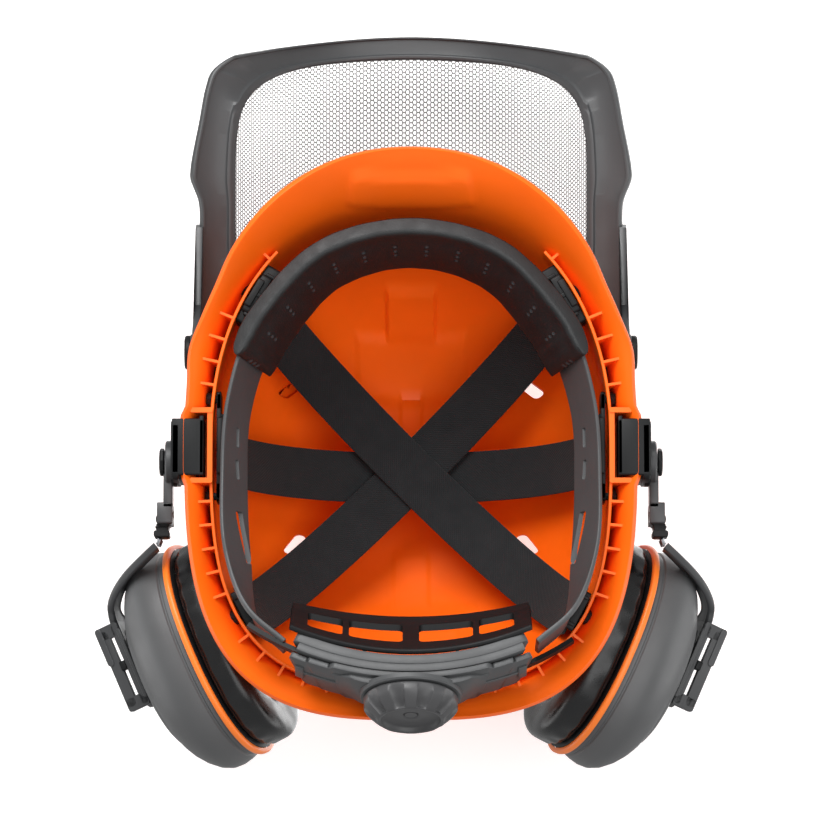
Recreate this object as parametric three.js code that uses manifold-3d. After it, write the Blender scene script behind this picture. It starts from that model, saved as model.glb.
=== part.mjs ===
import * as THREE from 'three';
import { mergeVertices } from 'three/addons/utils/BufferGeometryUtils.js';
import Module from 'manifold-3d';

const wasm = await Module();
wasm.setup();
const { Manifold, Mesh } = wasm;

// Forestry helmet, millimetres. Crown up +Z, peak towards -Y, wearer's left +X.
// The helmet's own zero is on its rim plane; these two move it to the part's frame.
const HELMET_Y = 42.27;
const HELMET_Z = 51.78;

// Shell
const RIM_HALF_WIDTH = 111;
const RIM_HALF_LENGTH = 140;
const RIM_CENTRE_Y = -7;
const CROWN_HALF_WIDTH = 104;
const CROWN_FRONT = 126;
const CROWN_BACK = 119;
const CROWN_CENTRE_Y = 2;
const CROWN_TOP = 148;
const PEAK_DROP = 20;
const BACK_DROP = 2;
const SHELL_WALL = 2.6;
const RIM_LIP = 5;
const PEAK_FLOW = 12;
const BRIM_FLOW = 4;
const RIM_STEPS = 60;
const CROWN_LEVELS = [0, 2, 5, 9, 15, 25, 40, 58, 78, 98, 116, 131, 142, 147];
const GAP = 0.3;

// Harness wall and fins inside the rim
const WALL_HALF_WIDTH = 98;
const WALL_HALF_LENGTH = 121;
const WALL_CENTRE_Y = -5;
const WALL_THICK = 1.4;
const WALL_BOTTOM = 1.5;
const FIN_THICK = 1.2;
const FIN_COUNT = 24;
const SLOT_Y = -2;
const SLOT_WIDTH = 32;
const SLOT_GAP = 5.4;
const SLOT_X = 102.5;

// Visor, drawn lowered and then raised to its parked place
const VISOR_PIVOT = new THREE.Vector3(107, -53, 33);
const VISOR_RAISE = THREE.MathUtils.degToRad(84);
const VISOR_FRONT = -156;
const VISOR_HALF = 90;
const VISOR_SWEEP = 56;
const VISOR_BOW = 11;
const VISOR_MIDDLE = -50;
const FRAME_HALF_WIDTH = 109;
const FRAME_HALF_HEIGHT = 75;
const MESH_HALF_HEIGHT = 64;
const FRAME_THICK = 3;
const MESH_THICK = 0.8;

// Nape unit
const NAPE_Y = 116;
const NAPE_Z = -24;
const NAPE_TILT = THREE.MathUtils.degToRad(18);
const NAPE_RADIUS = 135;
const HOUSING_HALF = 60;
const HOUSING_HEIGHT = 34;
const HOUSING_TAPER = 0.165;
const KNOB_RADIUS = 23;
const KNOB_LUGS = 12;

// Ear muffs, parked behind the sides
const MUFF_TURN = Math.atan2(0.397, 0.918);
const MUFF_LEAN = THREE.MathUtils.degToRad(18);
const RING_CENTRE = new THREE.Vector3(95.5, 92.5, 60);
const FOOT_AT = -12;
const CUP_LONG = 54;
const CUP_SHORT = 43;
const CUP_DEPTH = 38;
const CUSHION_DEPTH = 16;
const SWING_Y = 4;
const SWING_Z = 18;
const SPREAD_X = 121.5;
const SPREAD_Y = 32;
const SPREAD_Z = 25;

const V = (x, y, z) => new THREE.Vector3(x, y, z);

function outward(positions, index) {
  let six = 0;
  for (let i = 0; i < index.length; i += 3) {
    const [a, b, c] = [0, 1, 2].map((k) => positions[index[i + k]]);
    six += a.dot(b.clone().cross(c));
  }
  if (six < 0) {
    for (let i = 0; i < index.length; i += 3) {
      [index[i], index[i + 1]] = [index[i + 1], index[i]];
    }
  }
  const geometry = new THREE.BufferGeometry();
  const flat = positions.flatMap((p) => [p.x, p.y, p.z]);
  geometry.setAttribute('position', new THREE.Float32BufferAttribute(flat, 3));
  geometry.setIndex(index);
  return geometry;
}

// A solid through closed loops of equal length; joined makes a ring of them.
function loft(rings, joined = false) {
  const count = rings[0].length;
  const positions = rings.flat();
  const index = [];
  const spans = joined ? rings.length : rings.length - 1;
  for (let i = 0; i < spans; i++) {
    for (let j = 0; j < count; j++) {
      const next = (j + 1) % count;
      const above = ((i + 1) % rings.length) * count;
      index.push(i * count + j, i * count + next, above + next);
      index.push(i * count + j, above + next, above + j);
    }
  }
  if (!joined) {
    for (const [ring, turn] of [[0, 1], [rings.length - 1, 0]]) {
      const middle = positions.length;
      const sum = rings[ring].reduce((s, p) => s.add(p), V(0, 0, 0));
      positions.push(sum.divideScalar(count));
      for (let j = 0; j < count; j++) {
        const pair = [ring * count + j, ring * count + ((j + 1) % count)];
        index.push(middle, pair[turn], pair[1 - turn]);
      }
    }
  }
  return outward(positions, index);
}

// A strip of rectangular section between two edge curves.
function strip(low, high, thick, joined = false) {
  const count = low.length;
  const rings = low.map((p, i) => {
    const before = joined ? (i + count - 1) % count : Math.max(i - 1, 0);
    const after = joined ? (i + 1) % count : Math.min(i + 1, count - 1);
    const along = low[after].clone().add(high[after]).sub(low[before]).sub(high[before]);
    const across = high[i].clone().sub(p);
    const out = along.cross(across).normalize().multiplyScalar(thick / 2);
    return [
      p.clone().sub(out),
      p.clone().add(out),
      high[i].clone().add(out),
      high[i].clone().sub(out),
    ];
  });
  return loft(rings, joined);
}

function box(x0, x1, y0, y1, z0, z1) {
  const geometry = new THREE.BoxGeometry(x1 - x0, y1 - y0, z1 - z0);
  return geometry.translate((x0 + x1) / 2, (y0 + y1) / 2, (z0 + z1) / 2);
}

// A round pin from one point to another.
function pin(from, to, radius, sides = 20) {
  const along = to.clone().sub(from);
  const geometry = new THREE.CylinderGeometry(radius, radius, along.length(), sides);
  const turn = new THREE.Quaternion().setFromUnitVectors(V(0, 1, 0), along.clone().normalize());
  geometry.applyQuaternion(turn);
  const middle = from.clone().add(to).multiplyScalar(0.5);
  return geometry.translate(middle.x, middle.y, middle.z);
}

function rod(points, radius) {
  const path = new THREE.CatmullRomCurve3(points);
  const round = new THREE.Shape().absarc(0, 0, radius, 0, Math.PI * 2, false);
  const options = { steps: 4, extrudePath: path, bevelEnabled: false, curveSegments: 6 };
  return new THREE.ExtrudeGeometry(round, options);
}

function toSolid(geometry) {
  const clean = geometry.clone();
  for (const name of Object.keys(clean.attributes)) {
    if (name !== 'position') {
      clean.deleteAttribute(name);
    }
  }
  const merged = mergeVertices(clean, 1e-4);
  const mesh = new Mesh({
    numProp: 3,
    vertProperties: new Float32Array(merged.attributes.position.array),
    triVerts: new Uint32Array(merged.index.array),
  });
  mesh.merge();
  return new Manifold(mesh);
}

function toGeometry(solid) {
  const mesh = solid.getMesh();
  const geometry = new THREE.BufferGeometry();
  const corners = new THREE.BufferAttribute(new Float32Array(mesh.vertProperties), 3);
  geometry.setAttribute('position', corners);
  geometry.setIndex(Array.from(mesh.triVerts));
  return geometry;
}

const joinAll = (list) => toGeometry(Manifold.union(list.map(toSolid)));

function cutAll(body, cuts) {
  return toGeometry(toSolid(body).subtract(Manifold.union(cuts.map(toSolid))));
}

function mirrored(geometry) {
  const copy = geometry.clone();
  copy.scale(-1, 1, 1);
  const plain = copy.index ? copy.toNonIndexed() : copy;
  const p = plain.attributes.position;
  for (let i = 0; i < p.count; i += 3) {
    const keep = [p.getX(i), p.getY(i), p.getZ(i)];
    p.setXYZ(i, p.getX(i + 1), p.getY(i + 1), p.getZ(i + 1));
    p.setXYZ(i + 1, ...keep);
  }
  const bare = new THREE.BufferGeometry();
  bare.setAttribute('position', p);
  return mergeVertices(bare, 1e-4);
}

const finish = (color, roughness, metalness) =>
  new THREE.MeshStandardMaterial({ color, roughness, metalness });
const orange = finish('#e8500a', 0.42, 0);
const trim = finish('#f07818', 0.45, 0);
const dark = finish('#4a4b4c', 0.55, 0);
const grey = finish('#7b7c7d', 0.5, 0);
const black = finish('#1e1e1f', 0.5, 0);
const webbing = finish('#2b2b2c', 0.85, 0);
const foam = finish('#262627', 0.95, 0);
const steel = finish('#8c8f92', 0.3, 1);
const netting = finish('#303132', 0.45, 0.6);

const group = new THREE.Group();
group.name = 'forestry_helmet';

function add(name, geometry, material) {
  geometry.computeVertexNormals();
  const mesh = new THREE.Mesh(geometry, material);
  mesh.name = name;
  mesh.position.set(0, HELMET_Y, HELMET_Z);
  group.add(mesh);
}

function addPair(name, geometry, material) {
  add(`${name}_left`, geometry, material);
  add(`${name}_right`, mirrored(geometry), material);
}

const smooth = (low, high, value) => THREE.MathUtils.smoothstep(value, low, high);
const power = (value, n) => Math.sign(value) * Math.abs(value) ** n;

// A rounded outline whose back is squarer than its front.
function outline(turn, halfWidth, front, back, centreY, frontPower, backPower) {
  const [c, s] = [Math.cos(turn), Math.sin(turn)];
  const n = s < 0 ? frontPower : backPower;
  const y = centreY + (s < 0 ? front : back) * power(s, 2 / n);
  return V(halfWidth * power(c, 2 / n), y, 0);
}

const rimPoint = (turn) =>
  outline(turn, RIM_HALF_WIDTH, RIM_HALF_LENGTH, RIM_HALF_LENGTH, RIM_CENTRE_Y, 2.15, 3.05);
function crownPoint(turn, level) {
  const square = Math.exp(-level / 25);
  const [front, back] = [2.25 + 0.4 * square, 2.25 + 0.85 * square];
  return outline(turn, CROWN_HALF_WIDTH, CROWN_FRONT, CROWN_BACK, CROWN_CENTRE_Y, front, back);
}

const wallPoint = (turn) =>
  outline(turn, WALL_HALF_WIDTH, WALL_HALF_LENGTH, WALL_HALF_LENGTH, WALL_CENTRE_Y, 2.15, 3.05);

function rimHeight(y) {
  return -PEAK_DROP * smooth(-128, -55, -128 - 55 - y) - BACK_DROP * smooth(50, 120, y);
}

function shellPoint(turn, level) {
  const rim = rimPoint(turn);
  const crown = crownPoint(turn, level);
  const shrink = Math.sqrt(1 - (level / CROWN_TOP) ** 2);
  const front = smooth(0.2, 1, -Math.sin(turn));
  const flow = BRIM_FLOW + (PEAK_FLOW - BRIM_FLOW) * front;
  const flare = Math.exp(-level / flow);
  const x = crown.x * shrink + (rim.x - crown.x) * flare;
  const y = CROWN_CENTRE_Y + (crown.y - CROWN_CENTRE_Y) * shrink + (rim.y - crown.y) * flare;
  const low = rimHeight(rim.y);
  return V(x, y, level + low * (1 - level / CROWN_TOP));
}

// The filled shape of the shell's outside, moved inwards by depth at each level.
function filled(depth, below) {
  const turns = Array.from({ length: RIM_STEPS }, (_, i) => ((i + 0.5) * Math.PI * 2) / RIM_STEPS);
  const rings = CROWN_LEVELS.map((level) => turns.map((turn) => {
    const here = shellPoint(turn, level);
    const along = shellPoint(turn + 0.01, level).sub(shellPoint(turn - 0.01, level));
    const up = shellPoint(turn, level + 0.5).sub(here);
    const out = along.cross(up).normalize();
    return here.addScaledVector(out, -depth(level));
  }));
  if (below) {
    rings.unshift(rings[0].map((p) => V(p.x, p.y, -below)));
  }
  return loft(rings);
}

function buildShell() {
  const outer = toSolid(filled(() => 0, 0));
  const inner = toSolid(filled((z) => SHELL_WALL + (RIM_LIP - SHELL_WALL) * Math.exp(-z / 6), 60));
  const turns = Array.from({ length: 72 }, (_, i) => (i * Math.PI * 2) / 72);
  const ring = (offset, z) => turns.map((t) => {
    const p = wallPoint(t);
    const side = wallPoint(t + 0.02).sub(wallPoint(t - 0.02)).normalize();
    return V(p.x + side.y * offset, p.y - side.x * offset, z);
  });
  const wallRing = loft([
    ring(-WALL_THICK / 2, WALL_BOTTOM), ring(WALL_THICK / 2, WALL_BOTTOM),
    ring(WALL_THICK / 2, 60), ring(-WALL_THICK / 2, 60),
  ], true);
  const frontGap = box(-64, 64, -150, -60, -30, 80);
  const ribs = [toSolid(wallRing).subtract(toSolid(frontGap))];
  for (const side of [-1, 1]) {
    for (let i = 0; i < FIN_COUNT; i++) {
      const turn = -0.9 + (i * (0.9 + Math.PI / 2 - 0.05)) / (FIN_COUNT - 1);
      const p = wallPoint(turn);
      const q = wallPoint(turn + 0.02).sub(wallPoint(turn - 0.02)).normalize();
      const clear = Math.abs(p.y - SLOT_Y) < SLOT_WIDTH / 2 + 4;
      if (!clear) {
        const fin = box(0, 24, -FIN_THICK / 2, FIN_THICK / 2, WALL_BOTTOM, 62);
        fin.rotateZ(Math.atan2(-q.x, q.y));
        fin.translate(p.x, p.y, 0);
        ribs.push(toSolid(side > 0 ? fin : mirrored(fin)));
      }
    }
    const reach = SLOT_GAP / 2 + 2.4;
    const half = SLOT_WIDTH / 2 + 2.4;
    const block = box(SLOT_X - reach, SLOT_X + 12, SLOT_Y - half, SLOT_Y + half, WALL_BOTTOM, 60);
    ribs.push(toSolid(side > 0 ? block : mirrored(block)));
  }
  let body = outer.subtract(inner).add(Manifold.union(ribs).intersect(outer));
  const cuts = [];
  for (const side of [-1, 1]) {
    const half = SLOT_WIDTH / 2;
    const slot = box(SLOT_X - SLOT_GAP / 2, SLOT_X + SLOT_GAP / 2, SLOT_Y - half, SLOT_Y + half, -9, 24);
    cuts.push(side > 0 ? slot : mirrored(slot));
    for (const [x, y, turn, size] of [[60, -48, 0.5, 13], [59, 31, -0.25, 12]]) {
      const vent = box(-3.2, 3.2, -size / 2, size / 2, 70, 160);
      vent.rotateZ(turn);
      vent.translate(x, y, 0);
      cuts.push(side > 0 ? vent : mirrored(vent));
    }
    for (const clip of CLIPS) {
      const shaftWay = box(1, 7, -2.6, 2.6, -2, clip.z + 2.6);
      const headWay = box(clip.head - 0.3, 8.2, -4.2, 4.2, -2, clip.z + 4.2);
      for (const way of [shaftWay, headWay]) {
        way.rotateZ(clip.turn);
        way.translate(clip.x, clip.y, 0);
        cuts.push(side > 0 ? way : mirrored(way));
      }
    }
  }
  body = body.subtract(Manifold.union(cuts.map(toSolid)));
  return toGeometry(body);
}

// Each clip stands inside the harness wall; its peg points outwards along turn.
const CLIP_REACH = 2.9;

function wallSpot(turn, inside) {
  const p = wallPoint(turn);
  const side = wallPoint(turn + 0.02).sub(wallPoint(turn - 0.02)).normalize();
  return V(p.x - side.y * inside, p.y + side.x * inside, Math.atan2(-side.x, side.y));
}

const FRONT_SPOT = -0.637;
const REAR_SPOT = 0.635;
const frontAt = wallSpot(FRONT_SPOT, CLIP_REACH);
const rearAt = wallSpot(REAR_SPOT, CLIP_REACH);
const CLIPS = [
  { name: 'front_clip', x: frontAt.x, y: frontAt.y, z: 13.5, turn: frontAt.z, half: 9.5, head: 3.9 },
  { name: 'rear_clip', x: rearAt.x, y: rearAt.y, z: 11, turn: rearAt.z, half: 8, head: 3.9 },
  { name: 'hanger_front', x: 94.2, y: -26, z: 10, turn: 0, head: 4.5 },
  { name: 'hanger_back', x: 94.2, y: 22, z: 10, turn: 0, head: 4.5 },
];

function clipPiece(clip, plate) {
  const pieces = [box(-1.2, clip.head + 0.4, -2.2, 2.2, clip.z - 2.2, clip.z + 2.2)];
  if (plate) {
    pieces.push(box(-1.2, 1.2, -clip.half, clip.half, clip.z - clip.half, clip.z + clip.half));
  }
  pieces.push(pin(V(clip.head, 0, clip.z), V(clip.head + 2.6, 0, clip.z), 3.8, 8));
  return pieces.map((p) => {
    p.rotateZ(clip.turn);
    return p.translate(clip.x, clip.y, 0);
  });
}

add('shell', buildShell(), orange);
for (const clip of CLIPS.slice(0, 2)) {
  addPair(clip.name, joinAll(clipPiece(clip, true)), dark);
}
const hangerPlate = cutAll(box(93, 95.4, -29, 25, 2, 20), [
  box(90, 99, -19, -6, 6, 14),
  box(90, 99, 2, 15, 6, 14),
]);
addPair('side_hanger', joinAll([
  hangerPlate,
  ...clipPiece(CLIPS[2], false),
  ...clipPiece(CLIPS[3], false),
]), dark);

// Harness: headband, brow pad and three crown straps
function bothSides(points) {
  const half = new THREE.CatmullRomCurve3(points.map((p) => V(...p))).getPoints(30);
  return half.slice(1).reverse().map((p) => V(-p.x, p.y, p.z)).concat(half);
}

const BAND_LOW = [
  [0, -112, -2], [46, -101, -2], [77, -67.5, -3], [90, -26, -4],
  [91.5, 15, -6], [89, 50, -15], [77.2, 80, -27.8], [60.8, 94.8, -30.9],
];
const BAND_HIGH = [
  [0, -101, 30], [39, -90.5, 30], [66.5, -59.5, 28], [79.5, -22, 22],
  [81.5, 15, 17], [81, 52, 9], [76, 86.5, -3], [60.8, 102.7, -6.1],
];
const PAD_LOW = [[0, -105, -6], [43, -94, -6], [71.5, -63.5, -6], [82.5, -43, -6]];
const PAD_HIGH = [[0, -93.5, 30], [36, -83.5, 30], [60.6, -55.5, 29], [70, -40, 27]];
const band = strip(bothSides(BAND_LOW), bothSides(BAND_HIGH), 2);
const windows = [];
for (const side of [-1, 1]) {
  for (const [y0, y1, z0, z1] of [[-12, -2, 7, 10], [4, 14, 6, 9], [30, 56, 2, 8]]) {
    windows.push(box(side * 84 - 14, side * 84 + 14, y0, y1, z0, z1));
  }
}
add('headband', cutAll(band, windows), grey);
const bothPads = strip(bothSides(PAD_LOW), bothSides(PAD_HIGH), 5);
add('sweatband', bothPads, foam);

function strapLine(from, to, top, width, thick, startTurn = 0, endTurn = 0) {
  const along = to.clone().sub(from);
  const level = along.clone().setZ(0).normalize();
  const square = V(-level.y, level.x, 0).multiplyScalar(width / 2);
  const low = [];
  const high = [];
  for (let i = 0; i <= 28; i++) {
    const turn = Math.PI * (1 - i / 28);
    const where = (Math.cos(turn) + 1) / 2;
    const p = from.clone().addScaledVector(along, where);
    p.z += (top - p.z) * Math.sin(turn);
    const twist = startTurn * (1 - where) ** 4 + endTurn * where ** 4;
    const side = square.clone().applyAxisAngle(V(0, 0, 1), twist);
    low.push(p.clone().sub(side));
    high.push(p.clone().add(side));
  }
  return strip(low, high, thick);
}

const STRAP_WIDTH = 26;
const STRAP_THICK = 1.5;
const frontEnd = wallSpot(FRONT_SPOT, CLIP_REACH + 1.2 + GAP + STRAP_THICK / 2 + 0.1);
const rearEnd = wallSpot(REAR_SPOT, CLIP_REACH + 1.2 + GAP + STRAP_THICK / 2 + 0.1);
for (const [name, side, top] of [
  ['strap_right_front_to_left_back', 1, 104],
  ['strap_left_front_to_right_back', -1, 107],
]) {
  const from = V(-side * frontEnd.x, frontEnd.y, 13);
  const to = V(side * rearEnd.x, rearEnd.y, 9);
  const lean = Math.atan2(to.y - from.y, Math.abs(to.x - from.x));
  const startTurn = side * (-frontEnd.z - lean);
  const endTurn = side * (rearEnd.z - lean);
  const ribbon = strapLine(from, to, top, STRAP_WIDTH, STRAP_THICK, startTurn, endTurn);
  add(name, ribbon, webbing);
}
const strapC = strapLine(V(-91.9, 0, 12), V(91.9, 0, 12), 112, STRAP_WIDTH, STRAP_THICK);
add('strap_side_to_side', strapC, webbing);

// Visor
function sheetY(x) {
  const a = Math.abs(x);
  if (a > VISOR_HALF) {
    return VISOR_FRONT + VISOR_SWEEP + 0.35 * (a - VISOR_HALF);
  }
  return VISOR_FRONT + VISOR_SWEEP * (a / VISOR_HALF) ** 2.6;
}

// The far edge bows outwards in the middle and falls back at its corners.
function bowed(x, z) {
  return z - (VISOR_BOW - 17 * (x / 100) ** 2) * smooth(60, 125, -z);
}

function visorLoop(halfWidth, halfHeight) {
  return Array.from({ length: 72 }, (_, i) => {
    const turn = (i * Math.PI * 2) / 72;
    const x = halfWidth * power(Math.cos(turn), 0.4);
    const z = VISOR_MIDDLE + halfHeight * power(Math.sin(turn), 0.4);
    return V(x, sheetY(x), bowed(x, z));
  });
}

function raised(geometry) {
  geometry.translate(0, -VISOR_PIVOT.y, -VISOR_PIVOT.z);
  geometry.rotateX(-VISOR_RAISE);
  return geometry.translate(0, VISOR_PIVOT.y, VISOR_PIVOT.z);
}

const frameRing = strip(
  visorLoop(VISOR_HALF, MESH_HALF_HEIGHT), visorLoop(FRAME_HALF_WIDTH, FRAME_HALF_HEIGHT),
  FRAME_THICK, true,
);
const armShape = new THREE.Shape();
armShape.moveTo(VISOR_PIVOT.y - 3, VISOR_PIVOT.z + 10);
armShape.lineTo(-94, 16);
armShape.lineTo(-94, -34);
armShape.lineTo(-88, -30);
armShape.lineTo(-74, 10);
armShape.lineTo(VISOR_PIVOT.y + 6, VISOR_PIVOT.z - 8);
armShape.absarc(VISOR_PIVOT.y, VISOR_PIVOT.z, 10, -0.9, 1.87, false);
const armPlate = new THREE.ExtrudeGeometry(armShape, { depth: 4, bevelEnabled: false, curveSegments: 14 });
armPlate.applyMatrix4(new THREE.Matrix4().makeBasis(V(0, 1, 0), V(0, 0, 1), V(1, 0, 0)));
armPlate.translate(105, 0, 0);
const pinHole = pin(V(100, VISOR_PIVOT.y, VISOR_PIVOT.z), V(115, VISOR_PIVOT.y, VISOR_PIVOT.z), 4.3);
const arm = cutAll(armPlate, [pinHole]);
add('visor_frame', raised(joinAll([frameRing, arm, mirrored(arm)])), dark);

function meshSheet() {
  const across = 24;
  const up = 10;
  const face = (offset) => {
    const list = [];
    for (let i = 0; i <= across; i++) {
      for (let j = 0; j <= up; j++) {
        const [s, t] = [(2 * i) / across - 1, (2 * j) / up - 1];
        const x = (VISOR_HALF - 0.1) * s;
        const z = VISOR_MIDDLE + MESH_HALF_HEIGHT * t;
        list.push(V(x, sheetY(x) + offset, bowed(x, z)));
      }
    }
    return list;
  };
  const [front, back] = [face(-MESH_THICK / 2), face(MESH_THICK / 2)];
  const positions = front.concat(back);
  const at = (i, j, k) => k * front.length + i * (up + 1) + j;
  const index = [];
  const quad = (a, b, c, d) => index.push(a, b, c, a, c, d);
  for (let i = 0; i < across; i++) {
    for (let j = 0; j < up; j++) {
      quad(at(i, j, 0), at(i + 1, j, 0), at(i + 1, j + 1, 0), at(i, j + 1, 0));
      quad(at(i, j, 1), at(i, j + 1, 1), at(i + 1, j + 1, 1), at(i + 1, j, 1));
    }
  }
  for (let i = 0; i < across; i++) {
    quad(at(i, 0, 0), at(i, 0, 1), at(i + 1, 0, 1), at(i + 1, 0, 0));
    quad(at(i, up, 0), at(i + 1, up, 0), at(i + 1, up, 1), at(i, up, 1));
  }
  for (let j = 0; j < up; j++) {
    quad(at(0, j, 0), at(0, j + 1, 0), at(0, j + 1, 1), at(0, j, 1));
    quad(at(across, j, 0), at(across, j, 1), at(across, j + 1, 1), at(across, j + 1, 0));
  }
  return outward(positions, index);
}

const roomy = loft([-200, -60].map((y) =>
  visorLoop(VISOR_HALF - GAP, MESH_HALF_HEIGHT - GAP).map((p) => V(p.x, y, p.z))));
const panel = toGeometry(toSolid(meshSheet()).intersect(toSolid(roomy)));
add('visor_mesh', raised(panel), netting);

const bracketCut = filled(() => -GAP, 0);
const bracketBody = cutAll(box(70, 104.7, -68, -38, 19, 47), [bracketCut]);
const bracketPin = pin(V(104, VISOR_PIVOT.y, VISOR_PIVOT.z), V(109.3, VISOR_PIVOT.y, VISOR_PIVOT.z), 3.9);
addPair('visor_bracket', joinAll([bracketBody, bracketPin]), black);
const cap = pin(V(109.6, VISOR_PIVOT.y, VISOR_PIVOT.z), V(112.6, VISOR_PIVOT.y, VISOR_PIVOT.z), 8.5, 28);
addPair('visor_pivot_cap', cap, black);

// Nape unit: everything is drawn flat about its own zero and then tilted into place
function napePlace(geometry) {
  geometry.rotateX(-NAPE_TILT);
  return geometry.translate(0, NAPE_Y, NAPE_Z);
}

// A curved bar: x runs along the arc, depth is measured outwards, height upwards.
function napeBar(x0, x1, depth0, depth1, z0, z1, steps = 20, taper = 0) {
  const rings = Array.from({ length: steps + 1 }, (_, i) => {
    const middle = (x0 + ((x1 - x0) * i) / steps) / NAPE_RADIUS;
    const at = (depth, z) => {
      const r = NAPE_RADIUS + depth;
      const turn = middle * (1 - taper * (0.5 + z / HOUSING_HEIGHT));
      return V(r * Math.sin(turn), r * Math.cos(turn) - NAPE_RADIUS, z);
    };
    return [at(depth0, z0), at(depth1, z0), at(depth1, z1), at(depth0, z1)];
  });
  return loft(rings);
}

const half = HOUSING_HEIGHT / 2;
const wide = HOUSING_HALF;
const axleHole = pin(V(0, -9, 0), V(0, 12, 0), 7.6, 24);
const channel = napeBar(-wide - 5, wide + 5, -2, 2.3, -11.3, 11.3);
const housingBack = toGeometry(
  toSolid(napeBar(-wide, wide, -7, 1.7, -half, half, 20, HOUSING_TAPER)).subtract(toSolid(channel)),
);
add('ratchet_housing', napePlace(housingBack), grey);
const coverBody = joinAll([
  napeBar(-wide, wide, 2, 5, -half, half, 20, HOUSING_TAPER),
  napeBar(-wide * 0.62, wide * 0.62, 4.5, 8, -half + 3, half - 3),
]);
add('ratchet_cover', napePlace(cutAll(coverBody, [axleHole])), grey);

const lug = new THREE.Shape();
for (let i = 0; i < 96; i++) {
  const turn = (i * Math.PI * 2) / 96;
  const r = KNOB_RADIUS - 1.1 + 1.1 * Math.cos(KNOB_LUGS * turn);
  const p = [r * Math.cos(turn), r * Math.sin(turn)];
  lug[i ? 'lineTo' : 'moveTo'](...p);
}
lug.closePath();
const knobBlank = new THREE.ExtrudeGeometry(lug, {
  depth: 9, bevelEnabled: true, bevelThickness: 1.5, bevelSize: 1.2, bevelOffset: -1.2, bevelSegments: 1,
});
knobBlank.rotateX(-Math.PI / 2);
knobBlank.translate(0, 10.1, 0);
const dish = new THREE.SphereGeometry(48, 24, 16).translate(0, 20.6 + 44.6, 0);
const screwHole = pin(V(0, 10, 0), V(0, 30, 0), 3.4, 20);
const spindle = pin(V(0, 1.1, 0), V(0, 9, 0), 7.2, 24);
const knobBody = cutAll(knobBlank, [dish]);
add('ratchet_knob', napePlace(cutAll(joinAll([knobBody, spindle]), [screwHole])), dark);
add('knob_screw', napePlace(pin(V(0, 10.3, 0), V(0, 15.4, 0), 3.1, 16)), steel);

const tooth = new THREE.Shape();
const TEETH = 16;
const PINION_RADIUS = 5.6;
for (let i = 0; i < TEETH * 4; i++) {
  const turn = (i * Math.PI * 2) / (TEETH * 4);
  const r = PINION_RADIUS + (i % 4 < 2 ? 0.7 : -0.7);
  tooth[i ? 'lineTo' : 'moveTo'](r * Math.cos(turn), r * Math.sin(turn));
}
tooth.closePath();
const pinion = new THREE.ExtrudeGeometry(tooth, { depth: 2.4, bevelEnabled: false });
pinion.rotateX(-Math.PI / 2);
pinion.translate(0, -1.6, 0);
const pinionPlaced = napePlace(pinion);
add('ratchet_pinion', pinionPlaced, black);

function rack(low) {
  const z0 = low ? -11 : 6.9;
  const z1 = low ? -6.9 : 11;
  const bar = napeBar(-9, 84, -1.4, 0.8, z0, z1, 26);
  const cuts = [];
  for (let i = 0; i < 12; i++) {
    const x = 2 + i * 4.4;
    cuts.push(napeBar(x, x + 2.2, -3, 3, low ? -8.2 : 5, low ? -5 : 8.2, 1));
  }
  return cutAll(bar, cuts);
}
add('rack_left', napePlace(rack(false)), black);
add('rack_right', napePlace(mirrored(rack(true))), black);

function napePadEdge(y, z, bow) {
  return Array.from({ length: 25 }, (_, i) => {
    const x = -58 + (i * 116) / 24;
    return V(x, y - bow * (x / 58) ** 2, z);
  });
}
const napePad = cutAll(strip(napePadEdge(103, -36, 12), napePadEdge(85, 4, 7), 3), [
  box(-30, -4, 60, 130, -26, -9),
  box(4, 30, 60, 130, -26, -9),
  box(-50, -34, 60, 130, -24, -11),
  box(34, 50, 60, 130, -24, -11),
]);
const padStuds = [-38, 38].map((x) => box(x - 5, x + 5, 92, 112, -32, -27));
const padRoom = napePlace(napeBar(-70, 70, -7.3, 12, -30, 30));
add('nape_pad', cutAll(joinAll([napePad, ...padStuds]), [padRoom]), black);

// Ear muff on the wearer's left, in its own axes: x outwards, y along the long axis, z up
const muffTurn = new THREE.Matrix4().makeRotationZ(MUFF_TURN);
muffTurn.multiply(new THREE.Matrix4().makeRotationY(-MUFF_LEAN));
muffTurn.setPosition(RING_CENTRE);
const muffPlace = (geometry) => geometry.applyMatrix4(muffTurn);

function oval(depth, long, short, steps = 32) {
  return Array.from({ length: steps }, (_, i) => {
    const turn = (i * Math.PI * 2) / steps;
    return V(depth, long * power(Math.cos(turn), 0.92), short * power(Math.sin(turn), 0.92));
  });
}

const cupOuter = loft([
  oval(0.2, CUP_LONG, CUP_SHORT), oval(5, CUP_LONG + 1, CUP_SHORT + 1), oval(16, CUP_LONG - 1, CUP_SHORT - 1),
  oval(27, CUP_LONG - 7, CUP_SHORT - 6), oval(34, CUP_LONG - 16, CUP_SHORT - 14),
  oval(CUP_DEPTH, CUP_LONG - 26, CUP_SHORT - 24),
]);
const cupInner = loft([
  oval(-5, CUP_LONG - 4, CUP_SHORT - 4), oval(16, CUP_LONG - 5, CUP_SHORT - 5),
  oval(27, CUP_LONG - 11, CUP_SHORT - 10), oval(34.5, CUP_LONG - 24, CUP_SHORT - 22),
]);
addPair('ear_cup', muffPlace(cutAll(cupOuter, [cupInner])), dark);
addPair('cup_trim_ring', muffPlace(loft([
  oval(-1.6, CUP_LONG + 0.6, CUP_SHORT + 0.6), oval(-1.6, CUP_LONG + 3.2, CUP_SHORT + 3.2),
  oval(2.6, CUP_LONG + 3.2, CUP_SHORT + 3.2), oval(2.6, CUP_LONG + 1.1, CUP_SHORT + 1.1),
], true)), trim);
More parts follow.
